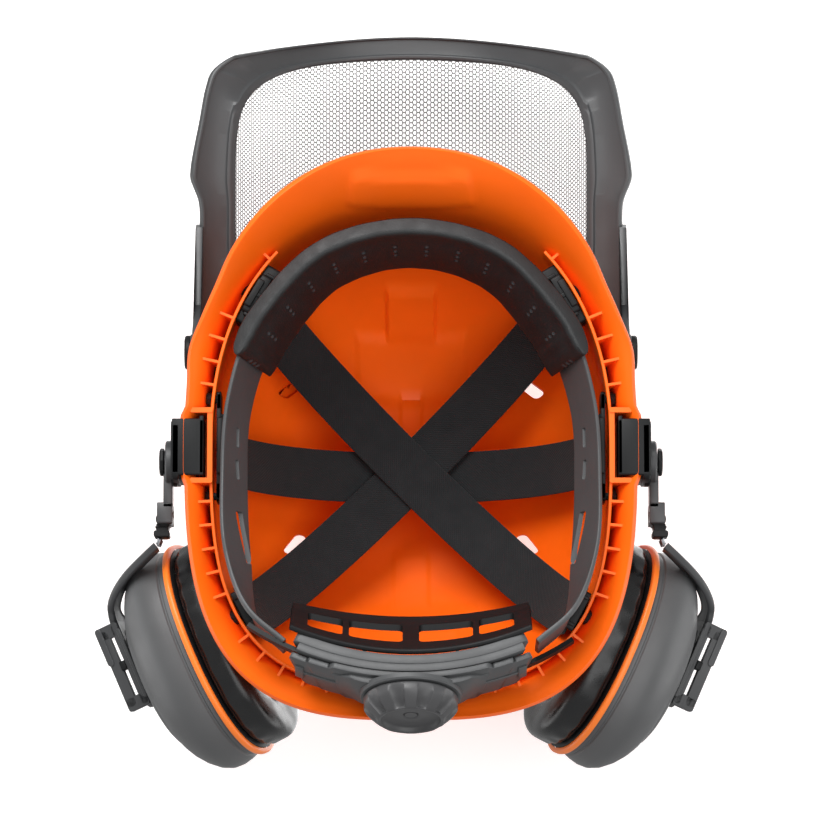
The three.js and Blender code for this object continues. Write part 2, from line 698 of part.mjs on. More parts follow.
addPair('cushion_plate', muffPlace(loft([
  oval(-2.1, 31, 20), oval(-2.1, CUP_LONG, CUP_SHORT),
  oval(-0.1, CUP_LONG, CUP_SHORT), oval(-0.1, 31, 20),
], true)), black);
const CUSHION = [
  [0, 33, 22], [0, CUP_LONG - 1, CUP_SHORT - 1], [0.3, CUP_LONG, CUP_SHORT], [0.7, CUP_LONG - 0.5, CUP_SHORT - 0.5],
  [0.94, CUP_LONG - 5, CUP_SHORT - 5], [1, CUP_LONG - 11, CUP_SHORT - 11], [0.9, 35, 24], [0.5, 32.5, 21.5],
];
addPair('ear_cushion', muffPlace(loft(CUSHION.map(([part, long, short]) =>
  oval(-2.4 - CUSHION_DEPTH * part, long, short)), true)), black);
addPair('cup_foam', muffPlace(loft([
  oval(5, CUP_LONG - 6, CUP_SHORT - 6), oval(13, CUP_LONG - 6, CUP_SHORT - 6),
])), foam);

// Foot on the cup, and the peg that rides in the arm's slot
const ARM_DEPTH = 43.2;
// Its underside is a shallow wedge, so the cup can tilt under it.
const footSection = [[0.3, -1.2], [0.3, 1.2], [1.3, 8], [2.8, 8], [2.8, -8], [1.3, -8]];
const footBlank = loft([FOOT_AT - 12, FOOT_AT + 12].map((y) => footSection.map(([d, z]) => V(CUP_DEPTH + d, y, z))));
const peg = pin(V(CUP_DEPTH + 2.5, FOOT_AT, 0), V(ARM_DEPTH + 2.2, FOOT_AT, 0), 2.6);
const pegHead = pin(V(ARM_DEPTH + 2.1, FOOT_AT, 0), V(ARM_DEPTH + 4.2, FOOT_AT, 0), 5.4, 24);
addPair('cup_slider', muffPlace(joinAll([footBlank, peg, pegHead])), black);

const armMid = [
  V(125.5, 45, 27), V(132, 50.5, 32), V(140.5, 58, 42), V(146.5, 65.5, 55), V(148.6, 72, 66),
];
const slotStart = V(ARM_DEPTH, -34, 0).applyMatrix4(muffTurn);
const slotEnd = V(ARM_DEPTH, 12, 0).applyMatrix4(muffTurn);
const armPoints = new THREE.CatmullRomCurve3([...armMid, slotStart]).getPoints(14);
armPoints.push(slotStart.clone().lerp(slotEnd, 0.5), slotEnd);
const leaned = V(0, 0, 7).transformDirection(muffTurn).multiplyScalar(7);
const armHalf = armPoints.map((_, i) => V(0, 0, 7).lerp(leaned, Math.min(i / 14, 1)));
const armLow = armPoints.map((p, i) => p.clone().sub(armHalf[i]));
const armHigh = armPoints.map((p, i) => p.clone().add(armHalf[i]));
const slotCut = muffPlace(joinAll([
  box(ARM_DEPTH - 5, ARM_DEPTH + 5, -29, 7, -3.1, 3.1),
]));
const muffArm = cutAll(strip(armLow, armHigh, 3.2), [slotCut]);
const knuckle = pin(V(SPREAD_X, SPREAD_Y, SPREAD_Z - 6), V(SPREAD_X, SPREAD_Y, SPREAD_Z + 6), 4.2, 20);
const neck = box(SPREAD_X - 2, SPREAD_X + 4, SPREAD_Y + 2, SPREAD_Y + 9, SPREAD_Z - 6, SPREAD_Z + 6);
const spreadHole = pin(V(SPREAD_X, SPREAD_Y, 0), V(SPREAD_X, SPREAD_Y, 60), 2, 16);
const knuckleBody = cutAll(joinAll([knuckle, neck]), [spreadHole]);
addPair('arm_knuckle', knuckleBody, black);
addPair('muff_arm', muffArm, dark);
for (const [name, z] of [['upper', 4], ['lower', -4]]) {
  addPair(`spring_wire_${name}`, rod([
    V(SPREAD_X + 2, SPREAD_Y + 9.6, SPREAD_Z + z),
    V(SPREAD_X + 2.6, SPREAD_Y + 11, SPREAD_Z + z + 0.6),
    V(SPREAD_X + 3.1, SPREAD_Y + 12.3, SPREAD_Z + z + 1.2),
  ], 1.2), steel);
}
const swingPlate = cutAll(joinAll([
  pin(V(117.4, SWING_Y, SWING_Z), V(121, SWING_Y, SWING_Z), 11, 28),
  box(117.4, 121, SWING_Y, SPREAD_Y - 5, SWING_Z - 3, SWING_Z + 12),
  box(117.4, 125, SPREAD_Y - 8, SPREAD_Y + 2.5, SPREAD_Z + 6.3, SPREAD_Z + 9.5),
  box(117.4, 125, SPREAD_Y - 8, SPREAD_Y + 2.5, SPREAD_Z - 9.5, SPREAD_Z - 6.3),
  box(117.4, 121, SPREAD_Y - 8, SPREAD_Y - 4.6, SPREAD_Z - 9.5, SPREAD_Z + 9.5),
]), [
  spreadHole,
  pin(V(115, SWING_Y, SWING_Z), V(125, SWING_Y, SWING_Z), 3.4),
]);
addPair('swing_plate', swingPlate, dark);
addPair('spread_pin', pin(V(SPREAD_X, SPREAD_Y, SPREAD_Z - 9.2), V(SPREAD_X, SPREAD_Y, SPREAD_Z + 9.2), 1.7, 16), steel);
const adaptor = joinAll([
  box(101.5, 103.5, SLOT_Y - 15, SLOT_Y + 15, -3.3, 20),
  box(101.5, 117, SLOT_Y - 13, SLOT_Y + 15, -3.3, -0.4),
  box(113.6, 117, SLOT_Y - 13, SLOT_Y + 17, -3.3, 31),
  pin(V(116, SWING_Y, SWING_Z), V(121.3, SWING_Y, SWING_Z), 3, 20),
]);
addPair('muff_adaptor', adaptor, dark);
addPair('swing_cap', pin(V(121.6, SWING_Y, SWING_Z), V(124, SWING_Y, SWING_Z), 7, 24), black);

export default group;
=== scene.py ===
"""Forestry helmet: crown shell, strap harness, nape ratchet, mesh visor and ear muffs."""

import math

import bpy
import numpy as np
from bpy.props import FloatProperty, FloatVectorProperty, PointerProperty
from mathutils import Matrix, Vector


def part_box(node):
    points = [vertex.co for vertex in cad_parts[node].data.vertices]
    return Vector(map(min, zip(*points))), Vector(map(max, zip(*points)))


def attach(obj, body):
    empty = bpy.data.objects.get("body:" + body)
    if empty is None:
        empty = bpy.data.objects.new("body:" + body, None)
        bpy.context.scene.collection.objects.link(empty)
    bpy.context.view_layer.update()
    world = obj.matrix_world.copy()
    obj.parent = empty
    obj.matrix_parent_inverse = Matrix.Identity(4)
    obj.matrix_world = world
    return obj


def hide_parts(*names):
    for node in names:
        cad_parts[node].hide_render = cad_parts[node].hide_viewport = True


bl_info = {
    "name": "Forestry helmet",
    "version": (1, 0, 0),
    "blender": (4, 5, 0),
    "location": "3D View > Sidebar > Helmet",
    "description": "Builds a forestry helmet around its packed frame",
    "category": "Add Mesh",
}

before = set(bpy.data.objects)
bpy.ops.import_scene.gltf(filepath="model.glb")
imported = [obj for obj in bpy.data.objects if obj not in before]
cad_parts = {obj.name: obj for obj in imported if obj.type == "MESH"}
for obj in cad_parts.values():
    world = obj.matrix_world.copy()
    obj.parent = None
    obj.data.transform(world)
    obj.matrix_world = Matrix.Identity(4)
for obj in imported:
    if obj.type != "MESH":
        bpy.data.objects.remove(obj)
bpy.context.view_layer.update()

# The helmet's own axes are in millimetres from the middle of its rim plane.
CAP_LOW, CAP_HIGH = (np.array(corner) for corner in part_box("visor_pivot_cap_left"))
RIM_ORIGIN = (CAP_LOW + CAP_HIGH) / 2 - np.array([0.1111, -0.053, 0.033])
RIM_ORIGIN[0] = 0.0
SIDES = (("left", 1), ("right", -1))

CROWN_CENTRE_Y = 2.0
CROWN_TOP = 148.0
VISOR_PIVOT = np.array([107.0, -53.0, 33.0])
VISOR_RAISE = math.radians(84)
NAPE_AT = np.array([0.0, 116.0, -24.0])
NAPE_TILT = math.radians(18)
NAPE_RADIUS = 135.0
RING_CENTRE = np.array([95.5, 92.5, 60.0])
MUFF_LEAN = math.radians(18)
FOOT_AT = -12.0
MUFF_TURN = math.atan2(0.397, 0.918)
CUP_LONG, CUP_SHORT, CUP_DEPTH = 54.0, 43.0, 38.0
ARM_DEPTH = 43.2


class HelmetSizes(bpy.types.PropertyGroup):
    """Sizes that a maker would change."""

    mesh_pitch: FloatProperty(
        name="Netting pitch", description="Cell to cell distance of the netting",
        default=0.00213, min=0.0015, max=0.006, unit="LENGTH",
    )
    mesh_strand: FloatProperty(
        name="Netting strand", description="Width of one strand of the netting",
        default=0.00046, min=0.0002, max=0.001, unit="LENGTH",
    )
    strap_width: FloatProperty(
        name="Strap width", description="Width of the crown straps",
        default=0.026, min=0.015, max=0.04, unit="LENGTH",
    )
    strap_thickness: FloatProperty(
        name="Strap thickness", description="Thickness of the crown straps",
        default=0.0013, min=0.0008, max=0.002, unit="LENGTH",
    )
    fin_spacing: FloatProperty(
        name="Fin spacing", description="Distance between the fins inside the rim",
        default=0.0115, min=0.006, max=0.03, unit="LENGTH",
    )
    camera_distance: FloatProperty(
        name="Camera distance", description="Distance of the camera from the rim",
        default=2.4, min=1.0, max=6.0, unit="LENGTH",
    )


def tint(name, words, rgb):
    """A colour property with its default."""
    return FloatVectorProperty(
        name=name, description=words, subtype="COLOR", size=3, min=0, max=1, default=rgb,
    )


class HelmetColours(bpy.types.PropertyGroup):
    """Colours of the finishes, linear."""

    shell: tint("Shell", "Orange of the moulded crown", (0.97, 0.135, 0.004))
    ring: tint("Cup ring", "Orange of the ring round each cup", (0.90, 0.20, 0.02))
    harness: tint("Harness", "Grey of the headband and nape housing", (0.058, 0.060, 0.062))
    knob: tint("Knob", "Grey of the nape knob", (0.052, 0.052, 0.054))
    visor: tint("Visor frame", "Grey of the visor frame", (0.044, 0.046, 0.048))
    arm: tint("Muff arm", "Grey of the muff arms", (0.040, 0.041, 0.043))
    cup: tint("Ear cup", "Grey of the ear cups", (0.078, 0.079, 0.081))
    fitting: tint("Fittings", "Black of clips and hangers", (0.008, 0.0085, 0.009))
    cushion: tint("Ear cushion", "Black of the cushion skin", (0.004, 0.0045, 0.005))
    webbing: tint("Webbing", "Black of the crown straps", (0.009, 0.0112, 0.0125))
    pad: tint("Brow pad", "Black of the brow pad", (0.0045, 0.0055, 0.0062))
    netting: tint("Netting", "Dark grey of the visor netting", (0.02, 0.02, 0.021))
    steel: tint("Spring steel", "Colour of pins, wires and screw", (0.42, 0.43, 0.45))
    floor: tint("Floor", "Pale studio floor", (0.86, 0.86, 0.86))


def sizes():
    return bpy.context.scene.helmet_sizes


def colours():
    return bpy.context.scene.helmet_colours


# ---------------------------------------------------------------- mesh helpers


def to_world(points):
    """Helmet millimetres to the frame's metres: scale by a thousandth, then shift."""
    return np.asarray(points, float) / 1000 + RIM_ORIGIN


def signed_volume(verts, quads):
    """Six times the volume: the sum of a dot (b cross c) over both halves of each face."""
    a, b, c, d = (verts[quads[:, k]] for k in range(4))
    return np.einsum("ij,ij->", a, np.cross(b, c)) + np.einsum("ij,ij->", a, np.cross(c, d))


def make_object(name, verts, faces, uvs=None, sharp=35):
    """An object from vertices and lists of equal-sided faces, with uv pairs per face corner."""
    loops = np.concatenate([f.reshape(-1) for f in faces]).astype(np.int32)
    totals = np.concatenate([np.full(len(f), f.shape[1]) for f in faces])
    starts = np.concatenate([[0], np.cumsum(totals)[:-1]]).astype(np.int32)
    mesh = bpy.data.meshes.new(name)
    mesh.vertices.add(len(verts))
    mesh.vertices.foreach_set("co", np.asarray(verts, np.float32).ravel())
    mesh.loops.add(len(loops))
    mesh.loops.foreach_set("vertex_index", loops)
    mesh.polygons.add(len(totals))
    mesh.polygons.foreach_set("loop_start", starts)
    mesh.update(calc_edges=True)
    if uvs is not None:
        layer = mesh.uv_layers.new(name="surface")
        layer.data.foreach_set("uv", np.asarray(uvs, np.float32).ravel())
    mesh.polygons.foreach_set("use_smooth", np.ones(len(totals), bool))
    mesh.update()
    mesh.set_sharp_from_angle(angle=math.radians(sharp))
    obj = bpy.data.objects.new(name, mesh)
    bpy.context.scene.collection.objects.link(obj)
    return obj


def grid_faces(nu, nv, wrap_u, wrap_v):
    """Quads of a grid of nu by nv points, closed round either way, and their grid corners."""
    i, j = np.meshgrid(
        np.arange(nu if wrap_u else nu - 1), np.arange(nv if wrap_v else nv - 1), indexing="ij",
    )
    corners_u = np.stack([i, i + 1, i + 1, i], -1).reshape(-1, 4)
    corners_v = np.stack([j, j, j + 1, j + 1], -1).reshape(-1, 4)
    return (corners_u % nu) * nv + corners_v % nv, corners_u, corners_v


def loft(name, rings, wrap=False, ends="fan", u=None, v=None, sharp=35, raw=False):
    """A closed solid through closed rings, points[i, j] = ring i at step j round it.

    Neighbouring rings are joined by quads. Ends are closed by a fan round their middle, or
    by strips between opposite points where a ring is the two faces of a sheet.
    """
    rings = np.asarray(rings, float)
    nu, nv = rings.shape[:2]
    verts = rings.reshape(-1, 3)
    quads, cu, cv = grid_faces(nu, nv, wrap, True)
    u = np.arange(nu + 1.0) if u is None else np.append(u, 2 * u[-1] - u[-2])
    v = np.arange(nv + 1.0) if v is None else np.append(v, 2 * v[-1] - v[-2])
    uvs = [np.stack([u[cu], v[cv]], -1).reshape(-1, 2)]
    faces = [quads]
    if not wrap and ends == "fan":
        middles = rings[[0, -1]].mean(1)
        first = len(verts)
        verts = np.vstack([verts, middles])
        ring = np.arange(nv)
        near = np.stack([np.full(nv, first), (ring + 1) % nv, ring], -1)
        far = np.stack([np.full(nv, first + 1), ring, (ring + 1) % nv], -1)
        far[:, 1:] += (nu - 1) * nv
        faces += [near, far]
        uvs += [np.zeros((6 * nv, 2))]
    elif not wrap:
        k = np.arange(nv // 2 - 1)
        near = np.stack([k, nv - 1 - k, nv - 2 - k, k + 1], -1)
        far = near[:, ::-1] + (nu - 1) * nv
        faces += [near, far]
        uvs += [np.zeros((8 * len(k), 2))]
    if raw:
        return verts, faces, uvs
    return finish_solid(name, verts, faces, np.concatenate(uvs), sharp)


def finish_solid(name, verts, faces, uvs, sharp=35):
    """Turns the faces outwards by the sign of the first group's volume, then makes the object."""
    quads = next(f for f in faces if f.shape[1] == 4)
    centre = verts.mean(0)
    if signed_volume(verts - centre, quads) < 0:
        corners = [0]
        for f in faces:
            corners.append(corners[-1] + f.size)
        parts = [
            uvs[a:b].reshape(-1, f.shape[1], 2)[:, ::-1].reshape(-1, 2)
            for f, a, b in zip(faces, corners, corners[1:])
        ]
        uvs = np.concatenate(parts)
        faces = [f[:, ::-1] for f in faces]
    return make_object(name, to_world(verts), faces, uvs, sharp)


def join_raw(name, solids, sharp=35):
    """Several closed solids kept as one piece; each is turned outwards on its own."""
    verts, faces, uvs, base = [], [], [], 0
    for points, groups, pairs in solids:
        quads = next(f for f in groups if f.shape[1] == 4)
        flip = signed_volume(points - points.mean(0), quads) < 0
        flat = np.concatenate(pairs)
        start = 0
        for f in groups:
            block = flat[start:start + f.size].reshape(-1, f.shape[1], 2)
            start += f.size
            faces.append((f[:, ::-1] if flip else f) + base)
            uvs.append((block[:, ::-1] if flip else block).reshape(-1, 2))
        verts.append(points)
        base += len(points)
    order = sorted(range(len(faces)), key=lambda k: faces[k].shape[1])
    faces = [faces[k] for k in order]
    uvs = [uvs[k] for k in order]
    return make_object(name, to_world(np.concatenate(verts)), faces, np.concatenate(uvs), sharp)


def unit(v):
    return v / np.maximum(np.linalg.norm(v, axis=-1, keepdims=True), 1e-12)


def rounded(width, height, radius, steps=4):
    """A closed rounded rectangle: four quarter circles of that radius, counterclockwise."""
    radius = min(radius, width / 2, height / 2)
    turns = np.linspace(0, math.pi / 2, steps + 1)
    points = []
    for k, (sx, sy) in enumerate([(1, 1), (-1, 1), (-1, -1), (1, -1)]):
        t = turns + k * math.pi / 2
        centre = [sx * (width / 2 - radius), sy * (height / 2 - radius)]
        points.append(np.stack([centre[0] + radius * np.cos(t), centre[1] + radius * np.sin(t)], -1))
    return np.concatenate(points)


def slab(name, outline, thick, edge, place=None, sharp=30, raw=False):
    """A flat plate: its outline at four levels, drawn in by the edge radius at both faces."""
    outline = np.asarray(outline, float)
    tangent = unit(np.roll(outline, -1, 0) - np.roll(outline, 1, 0))
    inward = np.stack([-tangent[:, 1], tangent[:, 0]], -1)
    levels = [(-thick / 2, edge), (-thick / 2 + edge * 0.3, edge * 0.3), (-thick / 2 + edge, 0),
              (thick / 2 - edge, 0), (thick / 2 - edge * 0.3, edge * 0.3), (thick / 2, edge)]
    rings = []
    for z, inset in levels:
        flat = outline + inward * inset
        rings.append(np.column_stack([flat, np.full(len(flat), z)]))
    rings = np.array(rings)
    if place is not None:
        rings = place(rings)
    return loft(name, rings, False, "fan", None, None, sharp, raw)


def axes(origin, x, y):
    """A function that takes points in a local frame to the helmet's: origin + a x + b y + c z."""
    x, y = unit(np.asarray(x, float)), unit(np.asarray(y, float))
    z = np.cross(x, y)
    base = np.stack([x, y, z])

    def place(points):
        return np.asarray(points) @ base + np.asarray(origin)

    return place


def mirror(place, side):
    """The same placing on the wearer's other side, by turning the sign of x."""

    def placed(points):
        out = place(points)
        return out * np.array([side, 1, 1])

    return placed


def cut(obj, cutters):
    """Takes the cutters' solids out of obj with exact booleans and removes the cutters."""
    for cutter in cutters:
        modifier = obj.modifiers.new("opening", "BOOLEAN")
        modifier.operation = "DIFFERENCE"
        modifier.solver = "EXACT"
        modifier.object = cutter
    graph = bpy.context.evaluated_depsgraph_get()
    mesh = bpy.data.meshes.new_from_object(obj.evaluated_get(graph))
    obj.modifiers.clear()
    obj.data = mesh
    for cutter in cutters:
        bpy.data.objects.remove(cutter)
    mesh.polygons.foreach_set("use_smooth", np.ones(len(mesh.polygons), bool))
    mesh.set_sharp_from_angle(angle=math.radians(32))
    return obj


def soften(obj, width=0.0004, segments=2, angle=32):
    """Rounds the piece's sharp edges with a bevel."""
    modifier = obj.modifiers.new("edges", "BEVEL")
    modifier.width = width
    modifier.segments = segments
    modifier.limit_method = "ANGLE"
    modifier.angle_limit = math.radians(angle)
    modifier.harden_normals = False
    return obj


def own(obj, body, material, slot, replaces=()):
    """Rides the piece on its body and gives it its material."""
    obj.data.materials.clear()
    obj.data.materials.append(material)
    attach(obj, body)
    if replaces:
        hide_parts(*replaces)
    return obj


# ------------------------------------------------------------- shared outlines


def signed_power(value, n):
    return np.sign(value) * np.abs(value) ** n


def smooth_step(low, high, value):
    t = np.clip((value - low) / (high - low), 0, 1)
    return t * t * (3 - 2 * t)


def outline(turn, half_width, front, back, centre_y, front_power, back_power):
    """A closed plan curve: x = w c^(2/n), y = centre + l s^(2/n), with its own n front and back."""
    c, s = np.cos(turn), np.sin(turn)
    n = np.where(s < 0, front_power, back_power)
    x = half_width * signed_power(c, 2 / n)
    y = centre_y + np.where(s < 0, front, back) * signed_power(s, 2 / n)
    return x, y


def rim_curve(turn):
    """The rim's plan, with the slight shoulder ahead of each side slot."""
    x, y = outline(turn, 111, 140, 140, -7, 2.15, 3.05)
    shoulder = 2.2 * np.exp(-(((y + 50) / 13) ** 2)) - 0.8 * np.exp(-(((y + 82) / 10) ** 2))
    return x + np.sign(x) * shoulder * (np.abs(x) > 60), y


def wall_curve(turn):
    return outline(turn, 98, 121, 121, -5, 2.15, 3.05)


def wall_spot(turn, inside):
    """A point inside the harness wall by that distance, and the wall's outward direction."""
    x, y = wall_curve(turn)
    x1, y1 = wall_curve(turn + 0.02)
    x0, y0 = wall_curve(turn - 0.02)
    side = unit(np.stack([x1 - x0, y1 - y0], -1))
    out = np.stack([side[..., 1], -side[..., 0]], -1)
    spot = np.stack([x, y], -1) - out * inside
    return spot, out


def shell_points(turn, level):
    """The crown's outside: an ellipse profile over the plan curve, flowing out to the rim.

    radius = plan * sqrt(1 - (h / top)^2) + (rim - plan) * exp(-h / flow)
    """
    rx, ry = rim_curve(turn)
    square = np.exp(-level / 25)
    cx, cy = outline(turn, 104, 126, 119, CROWN_CENTRE_Y, 2.25 + 0.4 * square, 2.25 + 0.85 * square)
    shrink = np.sqrt(np.maximum(1 - (level / CROWN_TOP) ** 2, 0))
    front = smooth_step(0.2, 1, -np.sin(turn))
    flare = np.exp(-level / (4 + 8 * front))
    x = cx * shrink + (rx - cx) * flare
    y = CROWN_CENTRE_Y + (cy - CROWN_CENTRE_Y) * shrink + (ry - cy) * flare
    low = -20 * smooth_step(-128, -55, -183 - ry) - 2 * smooth_step(50, 120, ry)
    z = level + low * (1 - level / CROWN_TOP)
    return np.stack(np.broadcast_arrays(x, y, z), -1)


def shell_normals(turn, level):
    """Outward direction: the change along the turn crossed with the change up the wall."""
    e = 0.004
    along = shell_points(turn + e, level) - shell_points(turn - e, level)
    up = shell_points(turn, level + 0.3) - shell_points(turn, np.maximum(level - 0.3, 0))
    return unit(np.cross(along, up))


def soft_box(value, low, high, edge):
    """1 between low and high, falling to 0 over the edge width on both sides."""
    return smooth_step(low - edge, low + edge, value) * smooth_step(-high - edge, -high + edge, -value)


def inside_relief(x, y, z):
    """How far the inner face stands proud, in millimetres, for the moulded steps and pads."""
    crown = soft_box(z, 60, 200, 6)
    wide = 32 - 0.25 * np.abs(y + 120)
    peak = 1.6 * soft_box(x, -wide, wide, 1.2) * soft_box(y, -134, -122, 1.0)
    wide = 28 - 9 * smooth_step(-60, -78, -y)
    bar = 1.8 * soft_box(x, -wide, wide, 1.2) * soft_box(y, -73, -43, 1.2) * crown
    stem = 2.4 * soft_box(x, -12.5, 12.5, 0.9) * soft_box(y, -94, -73, 0.9) * crown
    ridge = 1.1 * soft_box(x, -5.5, 5.5, 1) * soft_box(y, -46, -14, 1) * crown
    pad = 0.9 * soft_box(x, -9, 9, 1.5) * soft_box(y, 36, 66, 2) * crown
    back = sum(
        0.9 * soft_box(x, -w, w, 1.2) * soft_box(y, a, b, 1.0)
        for w, a, b in [(34, 66, 92), (29, 70, 88), (24, 74, 84)]
    ) * soft_box(z, 30, 200, 6)
    return peak + bar + stem + ridge + pad + back


def spline(points, per=14):
    """A centripetal Catmull-Rom curve through the points, all segments at once."""
    p = np.asarray(points, float)
    p = np.vstack([2 * p[0] - p[1], p, 2 * p[-1] - p[-2]])
    gap = np.sqrt(np.linalg.norm(np.diff(p, axis=0), axis=1))[:, None]
    p0, p1, p2, p3 = p[:-3], p[1:-2], p[2:-1], p[3:]
    d0, d1, d2 = gap[:-2], gap[1:-1], gap[2:]
    m1 = ((p1 - p0) / d0 - (p2 - p0) / (d0 + d1) + (p2 - p1) / d1) * d1
    m2 = ((p2 - p1) / d1 - (p3 - p1) / (d1 + d2) + (p3 - p2) / d2) * d1
    t = np.linspace(0, 1, per, endpoint=False)[None, :, None]
    p1, p2, m1, m2 = (a[:, None] for a in (p1, p2, m1, m2))
    curve = (
        (2 * t**3 - 3 * t**2 + 1) * p1 + (t**3 - 2 * t**2 + t) * m1
        + (3 * t**2 - 2 * t**3) * p2 + (t**3 - t**2) * m2
    )
    return np.vstack([curve.reshape(-1, p.shape[1]), p[-2]])


def both_sides(points, per=14):
    """The curve carried on over the middle plane to the other side."""
    points = np.asarray(points, float)
    return spline(np.vstack([(points * [-1, 1, 1])[:0:-1], points]), per)


def strip_rings(low, high, profile):
    """Sections between two edge curves: low + (high - low) * s + outward * t, in millimetres.

    The outward direction is the strip's length crossed with its width.
    """
    profile = np.asarray(profile, float)
    if profile.ndim == 2:
        profile = np.broadcast_to(profile, (len(low), *profile.shape))
    along = np.gradient(low + high, axis=0)
    across = high - low
    out = unit(np.cross(along, across))
    return low[:, None] + across[:, None] * profile[..., :1] + out[:, None] * profile[..., 1:]


def strip_section(width, thick, edge, steps=10, bulge=0.0):
    """A rounded band section as (share of the width, distance outwards), bulging by that much."""
    flat = np.linspace(0, 1, steps)
    arc = np.linspace(0, math.pi / 2, 4)[1:-1]
    e = edge / width
    near = np.column_stack([e + flat * (1 - 2 * e), np.full(steps, thick / 2)])
    near[:, 1] += bulge * np.sin(math.pi * flat)
    turn_out = np.column_stack([1 - e + e * np.sin(arc), thick / 2 - edge + edge * np.cos(arc)])
    right = np.vstack([turn_out, [[1, 0]], turn_out[::-1] * [1, -1]])
    far = near[::-1] * [1, -1]
    left = right[::-1] * [-1, 1] + [1, 0]
    left = left[::-1]
    return np.vstack([near, right, far, left * [1, -1]])


def lengths(points):
    """Distance along a curve at each of its points."""
    return np.concatenate([[0], np.cumsum(np.linalg.norm(np.diff(points, axis=0), axis=1))])


def nape_flat(points):
    """The nape unit's own axes (sideways, outwards, up), tilted back and moved into place."""
    p = np.asarray(points, float)
    c, s = math.cos(NAPE_TILT), math.sin(NAPE_TILT)
    y = p[..., 1] * c + p[..., 2] * s
    z = p[..., 2] * c - p[..., 1] * s
    return np.stack([p[..., 0], y, z], -1) + NAPE_AT


def nape_bent(points):
    """The same, with the sideways distance wrapped round the nape's arc."""
    p = np.asarray(points, float)
    turn = p[..., 0] / NAPE_RADIUS
    r = NAPE_RADIUS + p[..., 1]
    return nape_flat(np.stack([r * np.sin(turn), r * np.cos(turn) - NAPE_RADIUS, p[..., 2]], -1))


def muff_place(side):
    """The muff's own axes (out of the ear, along the long axis, up) to the helmet's."""
    c, s = math.cos(MUFF_TURN), math.sin(MUFF_TURN)
    lean_c, lean_s = math.cos(MUFF_LEAN), math.sin(MUFF_LEAN)

    def place(points):
        p = np.asarray(points, float)
        out = p[..., 0] * lean_c - p[..., 2] * lean_s
        z = p[..., 0] * lean_s + p[..., 2] * lean_c + RING_CENTRE[2]
        x = RING_CENTRE[0] + out * c - p[..., 1] * s
        y = RING_CENTRE[1] + out * s + p[..., 1] * c
        return np.stack([side * x, y, z], -1)

    return place


def oval(depth, long, short, steps=128):
    """A muff section: long |cos|^0.92 by short |sin|^0.92 at that depth."""
    turn = np.linspace(0, 2 * math.pi, steps, endpoint=False)
    y = long * signed_power(np.cos(turn), 0.92)
    z = short * signed_power(np.sin(turn), 0.92)
    return np.stack([np.broadcast_to(depth, turn.shape), y, z], -1)


def visor_raised(points):
    """Turns the lowered visor up about its pivot line."""
    p = np.asarray(points, float) - [0, VISOR_PIVOT[1], VISOR_PIVOT[2]]
    c, s = math.cos(VISOR_RAISE), math.sin(VISOR_RAISE)
    y = p[..., 1] * c + p[..., 2] * s
    z = p[..., 2] * c - p[..., 1] * s
    return np.stack([p[..., 0], y + VISOR_PIVOT[1], z + VISOR_PIVOT[2]], -1)


def visor_sheet(x, z, offset):
    """A point of the bowed visor: y = 56 (|x| / 90)^2.6 - 156, moved inwards by the offset.

    The far edge also bows outwards in its middle, by 11 - 17 (x / 100)^2.
    """
    a = np.abs(x)
    z = z - (11 - 17 * (x / 100) ** 2) * smooth_step(60, 125, -z)
    y = np.where(a > 90, -100 + 0.35 * (a - 90), -156 + 56 * (a / 90) ** 2.6)
    slope = np.where(a > 90, 0.35, 56 * 2.6 / 90 * (a / 90) ** 1.6) * np.sign(x)
    normal = unit(np.stack([-slope, np.ones_like(slope), np.zeros_like(slope)], -1))
    return np.stack([x, y, z], -1) + normal * np.asarray(offset)[..., None]


# --------------------------------------------------------------------- finishes


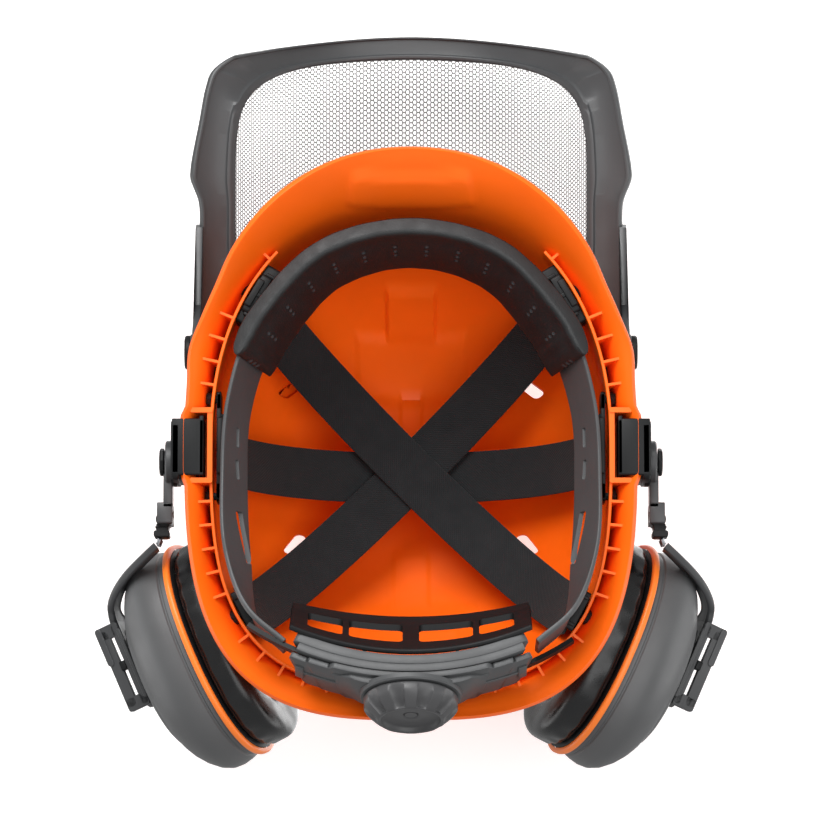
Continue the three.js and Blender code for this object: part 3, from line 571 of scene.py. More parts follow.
class Graph:
    """A material's node tree with short ways of adding to it."""

    def __init__(self, name, rgb, rough, metallic=0.0):
        self.material = bpy.data.materials.new(name)
        self.material.use_nodes = True
        self.material.diffuse_color = (*rgb, 1)
        self.nodes = self.material.node_tree.nodes
        self.links = self.material.node_tree.links
        self.shader = self.nodes["Principled BSDF"]
        self.shader.inputs["Base Color"].default_value = (*rgb, 1)
        self.shader.inputs["Roughness"].default_value = rough
        self.shader.inputs["Metallic"].default_value = metallic
        self.rgb = rgb
        self.rough = rough
        self.place = self.nodes.new("ShaderNodeTexCoord").outputs["Object"]
        self.normal = None

    def link(self, source, socket):
        self.links.new(source, socket)

    def math(self, operation, a, b=None, c=None):
        node = self.nodes.new("ShaderNodeMath")
        node.operation = operation
        for socket, value in zip(node.inputs, (a, b, c)):
            if isinstance(value, (int, float)):
                socket.default_value = value
            elif value is not None:
                self.link(value, socket)
        return node.outputs[0]

    def noise(self, scale, detail=3, rough=0.55, distortion=0.0, stretch=None):
        node = self.nodes.new("ShaderNodeTexNoise")
        node.inputs["Scale"].default_value = scale
        node.inputs["Detail"].default_value = detail
        node.inputs["Roughness"].default_value = rough
        node.inputs["Distortion"].default_value = distortion
        source = self.place
        if stretch:
            mapping = self.nodes.new("ShaderNodeMapping")
            mapping.inputs["Scale"].default_value = stretch
            self.link(source, mapping.inputs["Vector"])
            source = mapping.outputs[0]
        self.link(source, node.inputs["Vector"])
        return node.outputs["Fac"]

    def cells(self, scale, feature="F1"):
        node = self.nodes.new("ShaderNodeTexVoronoi")
        node.feature = feature
        node.inputs["Scale"].default_value = scale
        self.link(self.place, node.inputs["Vector"])
        return node.outputs["Distance"]

    def spread(self, value, low, high, out_low, out_high):
        node = self.nodes.new("ShaderNodeMapRange")
        for socket, number in zip(("From Min", "From Max", "To Min", "To Max"),
                                  (low, high, out_low, out_high)):
            node.inputs[socket].default_value = number
        self.link(value, node.inputs["Value"])
        return node.outputs["Result"]

    def bump(self, height, depth, strength=1.0):
        node = self.nodes.new("ShaderNodeBump")
        node.inputs["Distance"].default_value = depth
        node.inputs["Strength"].default_value = strength
        self.link(height, node.inputs["Height"])
        if self.normal is not None:
            self.link(self.normal, node.inputs["Normal"])
        self.normal = node.outputs["Normal"]
        self.link(self.normal, self.shader.inputs["Normal"])

    def tone(self, factor, low, high):
        """Base colour runs from the tint times low to the tint times high with the factor."""
        node = self.nodes.new("ShaderNodeMix")
        node.data_type = "RGBA"
        previous = self.shader.inputs["Base Color"]
        if previous.is_linked:
            source = previous.links[0].from_socket
            shades = []
            for amount in (low, high):
                scale = self.nodes.new("ShaderNodeVectorMath")
                scale.operation = "SCALE"
                scale.inputs["Scale"].default_value = amount
                self.link(source, scale.inputs[0])
                shades.append(scale.outputs[0])
            self.link(shades[0], node.inputs[6])
            self.link(shades[1], node.inputs[7])
        else:
            node.inputs[6].default_value = (*[c * low for c in self.rgb], 1)
            node.inputs[7].default_value = (*[min(c * high, 1) for c in self.rgb], 1)
        self.link(factor, node.inputs[0])
        self.link(node.outputs[2], previous)

    def gloss(self, factor, low, high):
        self.link(self.spread(factor, 0.25, 0.75, low, high), self.shader.inputs["Roughness"])


def moulded(name, rgb, rough, grain=0.00002, coarse=900.0, wear=0.10, specular=0.5):
    """Moulded plastic: fine spark grain, faint flow mottling, and gloss that varies."""
    g = Graph(name, rgb, rough)
    g.shader.inputs["Specular IOR Level"].default_value = specular
    broad = g.noise(22, 4)
    g.tone(g.spread(broad, 0.3, 0.7, 0, 1), 1 - wear, 1 + wear * 0.6)
    g.gloss(g.noise(60, 5), rough - 0.07, rough + 0.09)
    g.bump(g.noise(coarse, 2), grain)
    scratches = g.noise(140, 2, 0.5, 0.0, (1.0, 14.0, 1.0))
    g.bump(g.spread(scratches, 0.66, 0.72, 1, 0), grain * 0.6)
    return g.material


def fine_metal(name, rgb, rough):
    """Drawn steel: streaks along its length and small dull spots."""
    g = Graph(name, rgb, rough, 1.0)
    g.gloss(g.noise(300, 4, 0.6, 0.0, (1.0, 1.0, 12.0)), rough - 0.08, rough + 0.15)
    g.tone(g.noise(120, 3), 0.8, 1.1)
    g.bump(g.noise(700, 2, 0.5, 0.0, (1.0, 1.0, 10.0)), 0.00001)
    return g.material


def woven(name, rgb, pitch_u=1.5, pitch_v=1.5, depth=0.00012, rough=0.85):
    """Webbing: over-and-under threads in the surface's own millimetres, with selvedges; painted shade in the
    grooves and painted highlight on the raised threads.
    """
    g = Graph(name, rgb, rough)
    uv = g.nodes.new("ShaderNodeUVMap")
    uv.uv_map = "surface"
    parts = g.nodes.new("ShaderNodeSeparateXYZ")
    g.link(uv.outputs[0], parts.inputs[0])
    u, v = parts.outputs[0], parts.outputs[1]
    diagonal = g.math("ADD", g.math("MULTIPLY", u, 1 / pitch_u), g.math("MULTIPLY", v, 1 / pitch_v))
    twill = g.math("SINE", g.math("MULTIPLY", diagonal, 2 * math.pi))
    thread = g.math("SINE", g.math("MULTIPLY", v, 2 * math.pi / (pitch_v * 0.5)))
    height = g.math("ADD", g.math("MULTIPLY", twill, 0.6), g.math("MULTIPLY", thread, 0.4))
    fuzz = g.noise(2600, 2)
    height = g.math("ADD", height, g.math("MULTIPLY", fuzz, 0.8))
    g.bump(height, depth)
    # painted shade and highlight: colour follows the weave's height, darker in the grooves and lighter on
    # raised threads; the fuzz part of the height is random tone
    g.tone(g.spread(height, -1, 1.6, 0, 1), 0.55, 1.55)
    g.gloss(g.noise(90, 3), rough - 0.1, rough + 0.08)
    g.shader.inputs["Sheen Weight"].default_value = 0.06
    g.shader.inputs["Specular IOR Level"].default_value = 0.3
    g.shader.inputs["Sheen Roughness"].default_value = 0.5
    return g.material


def pebbled(name, rgb, rough, scale=1500.0, depth=0.00006, holes=False, sheen=0.0):
    """Soft skin with pebble grain and broad creases; a row of punched holes if asked for, painted lighter as
    painted highlights on their edges.
    """
    g = Graph(name, rgb, rough)
    g.tone(g.noise(40, 4), 0.75, 1.3)
    g.gloss(g.noise(120, 4), rough - 0.09, rough + 0.12)
    g.bump(g.noise(60, 3, 0.5, 0.6), 0.0003, 0.5)
    g.bump(g.cells(scale), depth)
    g.shader.inputs["Sheen Weight"].default_value = sheen
    if holes:
        uv = g.nodes.new("ShaderNodeUVMap")
        uv.uv_map = "surface"
        parts = g.nodes.new("ShaderNodeSeparateXYZ")
        g.link(uv.outputs[0], parts.inputs[0])
        along = g.math("SUBTRACT", g.math("MODULO", g.math("ADD", parts.outputs[0], 640), 16.0), 8.0)
        row = g.math("PINGPONG", g.math("SUBTRACT", parts.outputs[1], holes), 1.75)
        reach = g.math("SQRT", g.math("ADD", g.math("MULTIPLY", along, along),
                                      g.math("MULTIPLY", row, row)))
        inside = g.math("LESS_THAN", g.math("ABSOLUTE", g.math("SUBTRACT", parts.outputs[1], holes)), 4.6)
        solid = g.math("MAXIMUM", g.spread(reach, 0.7, 1.3, 0, 1), g.math("SUBTRACT", 1.0, inside))
        g.bump(solid, 0.0006)
        # painted highlight: the holes' colour is seven times the skin's, standing in for glints on their
        # edges
        g.tone(solid, 7.0, 1.0)
    return g.material


def foamed(name, rgb):
    """Open-cell foam: pits of two sizes, with painted shade darkening the larger pits."""
    g = Graph(name, rgb, 0.95)
    pits = g.cells(900)
    g.bump(pits, 0.0004)
    g.bump(g.cells(2600), 0.00015)
    # painted shade: colour follows the pit depth, half the tint at the bottom of each larger pit
    g.tone(g.spread(pits, 0.1, 0.6, 0, 1), 0.5, 1.6)
    g.gloss(g.noise(200, 3), 0.88, 0.98)
    return g.material


def finishes():
    """All finishes by name, made once and then looked up."""
    c = colours()
    made = {
        "shell": lambda: moulded("shell orange", c.shell[:], 0.42, 0.000012, 700, 0.05, 0.3),
        "ring": lambda: moulded("ring orange", c.ring[:], 0.36, 0.00001, 900, 0.05),
        "harness": lambda: moulded("harness grey", c.harness[:], 0.48, 0.00003, 1100),
        "knob": lambda: moulded("knob grey", c.knob[:], 0.42, 0.00003, 1300),
        "visor": lambda: moulded("visor grey", c.visor[:], 0.40, 0.00002, 1200),
        "arm": lambda: moulded("arm grey", c.arm[:], 0.42, 0.00002, 1200),
        "cup": lambda: moulded("cup grey", c.cup[:], 0.44, 0.00003, 1200),
        "fitting": lambda: moulded("fitting black", c.fitting[:], 0.46, 0.00002, 1200, 0.10, 0.2),
        "netting": lambda: moulded("netting grey", c.netting[:], 0.45, 0.00001, 2000),
        "cushion": lambda: pebbled("cushion skin", c.cushion[:], 0.26, 2400, 0.00002),
        "pad": lambda: pebbled("brow pad skin", c.pad[:], 0.56, 1500, 0.00008, 51.0),
        "webbing": lambda: woven("webbing", c.webbing[:]),
        "foam": lambda: foamed("cup foam", c.cushion[:]),
        "steel": lambda: fine_metal("spring steel", c.steel[:], 0.3),
    }

    def get(key):
        name = "finish_" + key
        if name not in bpy.data.materials:
            made[key]().name = name
        return bpy.data.materials[name]

    return get


# ----------------------------------------------------------------------- pieces


class PieceOperator:
    """Common running of a piece's operator."""

    bl_options = {"REGISTER", "UNDO"}

    def execute(self, context):
        self.build(finishes())
        return {"FINISHED"}


def rim_reach(levels, point, out):
    """Distances from a wall point to the crown's outside at each level, along its direction.

    Of many points round the crown at a level, the one most nearly in that direction counts.
    """
    turn = np.linspace(0, 2 * math.pi, 1500)[None]
    offset = shell_points(turn, np.asarray(levels, float)[:, None])[..., :2] - point
    ahead = offset @ out
    aside = np.abs(offset[..., 0] * out[1] - offset[..., 1] * out[0])
    best = np.argmin(np.where(ahead > -6, aside, 1e3), 1)
    return ahead[np.arange(len(best)), best]


def vent_cutter(name, x, y, turn, size):
    """A slanted rounded slot standing through the crown."""
    flat = rounded(5.4, size + 3, 2.2, 5)
    flat[:, 0] += 0.35 * flat[:, 1] * np.sign(x)
    c, s = math.cos(turn), math.sin(turn)
    flat = np.stack([flat[:, 0] * c - flat[:, 1] * s + x, flat[:, 0] * s + flat[:, 1] * c + y], -1)
    rings = np.array([np.column_stack([flat, np.full(len(flat), z)]) for z in (70, 115, 165)])
    return loft(name, rings)


class HELMET_OT_shell(PieceOperator, bpy.types.Operator):
    """Crown shell.

    Rings of the crown formula run down the outside, round the rim's lip and up the inside,
    which is the outside moved in by the wall, the rim's extra thickness and the moulded
    relief. The harness wall is a ribbon on its own plan curve with fins standing out from it.
    """

    bl_idname = "helmet.shell"
    bl_label = "Crown shell"

    def build(self, finish):
        turns = np.linspace(0, 2 * math.pi, 432, endpoint=False)[None]
        rise = np.sin(np.linspace(1, 0, 70) ** 1.25 * 1.5695)
        levels = (CROWN_TOP * rise)[:, None]
        outer = shell_points(turns, levels)
        normal = shell_normals(turns, levels)
        side = np.abs(outer[..., 0]) > 90
        bulge = 4.2 * soft_box(outer[..., 1], -19, 15, 3) * soft_box(outer[..., 2], -8, 25, 3) * side
        outer = outer + normal * bulge[..., None] * [1, 1, 0]
        thick = 2.6 + 1.2 * np.exp(-levels / 6)
        first = outer - normal * thick[..., None]
        relief = inside_relief(first[..., 0], first[..., 1], first[..., 2])
        inner = outer - normal * (thick + relief)[..., None]
        low_out, low_in = outer[-1], inner[-1]
        across = low_in - low_out
        lip = []
        for share, lift in [(0.05, -0.25), (0.16, -0.45), (0.5, -0.5), (0.84, -0.45), (0.95, -0.25)]:
            ring = low_out + across * share
            ring[:, 2] += lift
            lip.append(ring)
        rings = np.concatenate([outer, np.array(lip), inner[::-1]])
        shell = loft("crown_shell", rings, sharp=40)
        vents = [
            vent_cutter("vent", side * x, y, side * turn, size)
            for side in (1, -1) for x, y, turn, size in [(59.5, -46.5, -0.53, 14), (59.5, 34, -0.25, 9)]
        ]
        cut(shell, vents)
        own(shell, "helmet", finish("shell"), "shell_orange", ["shell"])

        solids = [self.wall(), *self.fins(), *self.slots()]
        inside = join_raw("harness_wall", solids)
        soften(inside, 0.0003, 2, 40)
        own(inside, "helmet", finish("shell"), "shell_orange", ["shell"])

    def wall(self):
        """A ribbon 1.6 mm thick along the plan curve, open in front, as high as it fits."""
        start = -0.86
        turn = np.linspace(start, math.pi - start, 200)
        spot, out = wall_spot(turn, 0.0)
        levels = np.arange(6.0, 44.0, 1.0)
        reach = np.array([rim_reach(levels, p, o) for p, o in zip(spot, out)])
        top = np.array([np.interp(-2.2, -row, levels) for row in reach])
        section = [(-0.8, 1.9, 0), (-0.5, 1.5, 0), (0.5, 1.5, 0), (0.8, 1.9, 0), (0.8, 0, 1), (-0.8, 1, 1)]
        rings = np.stack([
            np.column_stack([spot + out * a, z + top * k]) for a, z, k in section
        ], 1)
        return loft("wall", rings, raw=True)

    def fins(self):
        """Thin upright plates between the wall and the crown's inside, following its slope."""
        spacing = sizes().fin_spacing * 1000
        fine = np.linspace(-0.84, math.pi / 2 - 0.04, 600)
        spot, _ = wall_spot(fine, 0.0)
        run = lengths(spot)
        turns = np.interp(np.arange(3, run[-1], spacing), run, fine)
        spots, outs = wall_spot(turns, 0.0)
        pegs = np.array([wall_spot(at, 0.0)[0] for at in (-0.637, 0.635)])
        apart = np.linalg.norm(spots[:, None] - pegs[None], axis=2).min(1)
        clear = (np.abs(spots[:, 1] + 2) > 20) & (apart > 7.5)
        solids = []
        levels = np.array([1.4, 2.5, 4, 6, 9, 13, 18, 24, 30])
        for spot, out in zip(spots[clear], outs[clear]):
            reach = np.maximum(rim_reach(levels, spot, out) - 1.9, 0.2)
            along = np.array([-out[1], out[0]])
            for side in (1, -1):
                rings = []
                for a, b in [(-0.5, 0.15), (-0.65, 0), (0.65, 0), (0.5, 0.15)]:
                    low = np.column_stack([spot + out * (reach[:, None] - b) + along * a, levels + b])
                    near = np.column_stack([
                        np.repeat((spot + along * a)[None], 2, 0), [levels[-1], levels[0] + b],
                    ])
                    rings.append(np.vstack([low, near]) * [side, 1, 1])
                solids.append(loft("fin", np.array(rings), raw=True))
        return solids

    def slots(self):
        """The frame round each side slot: an inner wall, two cheeks and a lintel."""
        solids = []
        for side in (1, -1):
            for x0, x1, y0, y1, z0, z1 in [
                (97.2, 99.7, -20.4, 16.4, -1.0, 24), (97.2, 108, -20.6, -18.1, -1.6, 30),
                (97.2, 108, 14.1, 16.6, -1.6, 30), (97.2, 103, -20, 16, 24.1, 30),
            ]:
                flat = rounded(x1 - x0, y1 - y0, 0.7) + [(x0 + x1) / 2, (y0 + y1) / 2]
                rings = [np.column_stack([flat, np.full(len(flat), z)]) for z in (z0, z1)]
                solids.append(loft("slot", np.array(rings) * [side, 1, 1], raw=True))
        return solids


BAND_LOW = [
    [0, -111, -2], [46, -100, -2], [76, -66.8, -3], [89.6, -26, -4],
    [92.5, 15, -6], [90.5, 50, -15], [79, 80, -27.8], [60.8, 96.5, -30.9],
]
BAND_HIGH = [
    [0, -101, 30], [39, -90.5, 30], [66.5, -59.5, 28], [79.5, -22, 22],
    [81.0, 15, 17], [79, 52, 9], [74, 86.5, -3], [60.8, 100, -6.1],
]
PAD_LOW = [[0, -109.5, -7], [44, -98.5, -7], [75.5, -65.8, -7], [85.6, -46, -7]]
PAD_HIGH = [[0, -96.5, 30], [36.6, -86, 30], [61.4, -57, 29], [70.0, -40, 27]]
BAND_WINDOWS = [(-12, -2, 7, 10), (4, 14, 6, 9), (30, 56, 2, 8)]


class HELMET_OT_headband(PieceOperator, bpy.types.Operator):
    """Headband.

    A rounded section carried between a lower and an upper Catmull-Rom edge curve, with its
    windows cut through and a raised rib along each edge.
    """

    bl_idname = "helmet.headband"
    bl_label = "Headband"

    def build(self, finish):
        low, high = both_sides(BAND_LOW), both_sides(BAND_HIGH)
        width = 32.0
        section = strip_section(width, 1.9, 0.7, 22)
        near = section[:, 1] > 0.9
        rib = np.exp(-(((section[:, 0] - 0.07) / 0.035) ** 2))
        rib += np.exp(-(((section[:, 0] - 0.93) / 0.035) ** 2))
        section[:, 1] += near * rib * 0.7
        rings = strip_rings(low, high, section)
        band = loft("headband_band", rings)
        cutters = []
        for side in (1, -1):
            for y0, y1, z0, z1 in BAND_WINDOWS:
                flat = rounded(y1 - y0, z1 - z0, 1.2) + [(y0 + y1) / 2, (z0 + z1) / 2]
                rings = np.array([
                    np.column_stack([np.full(len(flat), side * x), flat]) for x in (68, 98)
                ])
                cutters.append(loft("window", rings))
        cut(band, cutters)
        own(soften(band, 0.00025), "helmet", finish("harness"), "harness_grey", ["headband"])


class HELMET_OT_brow_pad(PieceOperator, bpy.types.Operator):
    """Brow pad.

    A thick soft section between two edge curves that bulges in the middle, thins at both
    ends and ripples slightly along its length, folded over the headband's lower edge.
    """

    bl_idname = "helmet.brow_pad"
    bl_label = "Brow pad"

    def build(self, finish):
        low, high = both_sides(PAD_LOW, 30), both_sides(PAD_HIGH, 30)
        count = len(low)
        share = np.linspace(-1, 1, count)
        section = strip_section(36, 5.4, 2.6, 24, 1.2)
        rings = np.repeat(section[None], count, 0)
        end = np.sqrt(np.clip(1 - np.abs(share) ** 14, 0.02, 1))
        ripple = 1 + 0.06 * np.sin(share * 41) * np.sin(share * 17 + 0.6)
        rings[..., 1] *= (end * ripple)[:, None]
        roll = np.exp(-(((section[:, 0] - 0.02) / 0.13) ** 2))
        rings[..., 1] += roll * np.where(section[:, 1] > 0, 3.4, -0.8) * end[:, None]
        points = strip_rings(low, high, rings)
        u = lengths((low + high) / 2)
        v = np.concatenate([[0], np.cumsum(np.abs(np.diff(section[:, 0])) * 34)])
        pad = loft("brow_pad_skin", points, False, "fan", u - u[-1] / 2, v)
        own(pad, "helmet", finish("pad"), "brow_pad", ["sweatband"])


def strap_points(start, end, top, start_turn, end_turn, count, width, section):
    """Rings of a crown strap and its length.

    The middle line runs (1 - cos) of the way from end to end while rising by sine to the
    top; the width lies level and twists to the clips by the fourth power near each end.
    """
    start, end = np.array(start, float), np.array(end, float)
    turn = math.pi * (1 - np.linspace(0, 1, count))
    where = (np.cos(turn) + 1) / 2
    path = start + (end - start) * where[:, None]
    path[:, 2] += (top - path[:, 2]) * np.sin(turn)
    level = unit((end - start) * [1, 1, 0])
    square = np.array([-level[1], level[0]])
    twist = start_turn * (1 - where) ** 4 + end_turn * where**4
    c, s = np.cos(twist), np.sin(twist)
    across = np.column_stack([square[0] * c - square[1] * s, square[0] * s + square[1] * c, 0 * c])
    low, high = path - across * width / 2, path + across * width / 2
    return strip_rings(low, high, section), lengths(path), low, high


class HELMET_OT_straps(PieceOperator, bpy.types.Operator):
    """Crown straps.

    Three ribbons of webbing with rounded selvedges along arched paths, crossing under the
    crown one above another.
    """

    bl_idname = "helmet.straps"
    bl_label = "Crown straps"

    def build(self, finish):
        width = sizes().strap_width * 1000
        thick = sizes().strap_thickness * 1000
        section = strip_section(width, thick, thick * 0.45, 20)
        v = np.concatenate([[0], np.cumsum(np.abs(np.diff(section[:, 0])) * width)])
        front, front_out = wall_spot(-0.637, 5.25)
        rear, rear_out = wall_spot(0.635, 5.25)
        front_angle = math.atan2(front_out[1], front_out[0])
        rear_angle = math.atan2(rear_out[1], rear_out[0])
        jobs = [("strap_side_to_side", (-91.9, 0, 12), (91.9, 0, 12), 112, 0.0, 0.0)]
        for name, side, top in [
            ("strap_right_front_to_left_back", 1, 104), ("strap_left_front_to_right_back", -1, 107),
        ]:
            start = (-side * front[0], front[1], 13)
            end = (side * rear[0], rear[1], 9)
            lean = math.atan2(end[1] - start[1], abs(end[0] - start[0]))
            turns = side * (-front_angle - lean), side * (rear_angle - lean)
            jobs.append((name, start, end, top, *turns))
        for name, start, end, top, start_turn, end_turn in jobs:
            rings, run, low, high = strap_points(
                start, end, top, start_turn, end_turn, 240, width, section,
            )
            strap = loft(name + "_webbing", rings, False, "fan", run, v)
            own(strap, "helmet", finish("webbing"), "strap_webbing", [name])


def box_ring(x0, x1, y0, y1, radius=0.6):
    return rounded(x1 - x0, y1 - y0, radius, 3) + [(x0 + x1) / 2, (y0 + y1) / 2]


def block(place, x0, x1, y0, y1, z0, z1, radius=0.6, edge=0.35):
    """A rounded block in a local frame, as a raw solid."""
    flat = box_ring(x0, x1, y0, y1, radius)
    middle = (z0 + z1) / 2

    def lift(rings):
        return place(rings + [0, 0, middle])

    return slab("block", flat, z1 - z0, min(edge, (z1 - z0) / 3), lift, raw=True)


def turned(place, profile, steps=32):
    """A round solid about the local z axis from (height, radius) pairs, as a raw solid."""
    turn = np.linspace(0, 2 * math.pi, steps, endpoint=False)
    profile = np.asarray(profile, float)
    r = np.repeat(profile[:, 1:], steps, 1)
    rings = np.stack([
        r * np.cos(turn), r * np.sin(turn), np.repeat(profile[:, :1], steps, 1),
    ], -1)
    return loft("turned", place(rings), raw=True)


class HELMET_OT_clips(PieceOperator, bpy.types.Operator):
    """Strap clips and side hangers.

    Rounded plates with raised borders, ribs and a faceted mushroom peg through the wall,
    set up in a frame whose z points out of the wall.
    """

    bl_idname = "helmet.clips"
    bl_label = "Strap clips and hangers"

    def build(self, finish):
        for name, turn, z, half in [("front_clip", -0.637, 13.5, 9.5), ("rear_clip", 0.635, 11, 8.0)]:
            spot, out = wall_spot(turn, 2.9)
            for label, side in SIDES:
                x = [-out[1], out[0], 0]
                base = mirror(axes([*spot, z], x, [0, 0, 1]), side)
                solids = self.clip(base, half, name == "front_clip")
                piece = join_raw(f"{name}_{label}_moulding", solids, 30)
                own(soften(piece, 0.0002), "helmet", finish("fitting"), "black_plastic", [f"{name}_{label}"])
        for label, side in SIDES:
            base = mirror(axes([94.2, -2, 11], [0, 1, 0], [0, 0, 1]), side)
            piece = join_raw(f"side_hanger_{label}_moulding", self.hanger(base), 30)
            own(soften(piece, 0.0002), "helmet", finish("fitting"), "black_plastic", [f"side_hanger_{label}"])

    def peg(self, base, x, y, start, scale=1.0):
        def at(points):
            return base(points + np.array([x, y, 0]))

        r = 3.7 * scale
        head = [(start, 1.9), (3.7, 1.9), (3.75, r), (4.4, r * 1.05), (6.2, r * 0.82), (6.8, r * 0.35)]
        return turned(at, head, 8)

    def clip(self, base, half, tall):
        h = half
        solids = [
            block(base, -h, h, -h, h, -1.1, 0.5, 1.6),
            block(base, -h, -h + 2.4, -h, h, -1.2, 1.3, 0.8),
            block(base, h - 2.4, h, -h, h, -1.2, 1.3, 0.8),
            block(base, -h, h, h - 2.4, h, -1.2, 1.4, 0.8),
            block(base, -h, h, -h - 0.6, -h + 2.2, -1.9, 1.2, 0.8),
            block(base, -1.1, 1.1, -h, h, -1.2, 1.2, 0.4),
            block(base, -h, h, -1.0, 1.0, -1.2, 1.2, 0.4),
            self.peg(base, 0, 0, -1.0),
        ]
        if tall:
            solids += [
                block(base, -16.0, -9.0, -h + 1, h - 1, -8.0, 0.9, 1.4),
                block(base, 9.0, 16.0, -h + 1, h - 1, -8.0, 0.9, 1.4),
                block(base, -16.0, 16.0, -h - 0.4, -h + 2.4, -8.6, 1.0, 1.4),
                block(base, -10.5, 10.5, -h - 3.2, -h + 0.4, -4.6, 0.6, 1.6),
                block(base, -7.5, 7.5, -h - 4.6, -h - 2.2, -2.2, 1.0, 0.9),
                block(base, -12.0, -10.2, -h - 2.6, h, -7.6, -1.0, 0.6),
                block(base, 10.2, 12.0, -h - 2.6, h, -7.6, -1.0, 0.6),
                block(base, -1.2, 1.2, -h - 3.8, -h, -5.6, 0.9, 0.5),
            ]
        else:
            solids += [
                block(base, -10.5, 10.5, -h - 1.6, -h + 1.6, -4.4, 1.0, 1.4),
                block(base, -8.4, -6.4, -h - 2.6, h, -5.2, 0.6, 0.6),
                block(base, 6.4, 8.4, -h - 2.6, h, -5.2, 0.6, 0.6),
            ]
        return solids

    def hanger(self, base):
        solids = [
            block(base, -27, 27, 5.4, 9, -1.1, 1.1, 1.4), block(base, -27, 27, -9, -5.4, -1.1, 1.1, 1.4),
            block(base, -27, -17.2, -9, 9, -1.1, 1.1, 1.4), block(base, 17.2, 27, -9, 9, -1.1, 1.1, 1.4),
            block(base, -4, 4, -9, 9, -1.1, 1.1, 0.8), block(base, -14, 14, -11.5, -7, -2.0, 0.6, 1.2),
            block(base, -16, -13.4, -8, 8, -2.2, 0.8, 0.5), block(base, 13.4, 16, -8, 8, -2.2, 0.8, 0.5),
        ]
        solids += [self.peg(base, x, -1, -1.0, 1.05) for x in (-24, 24)]
        return solids


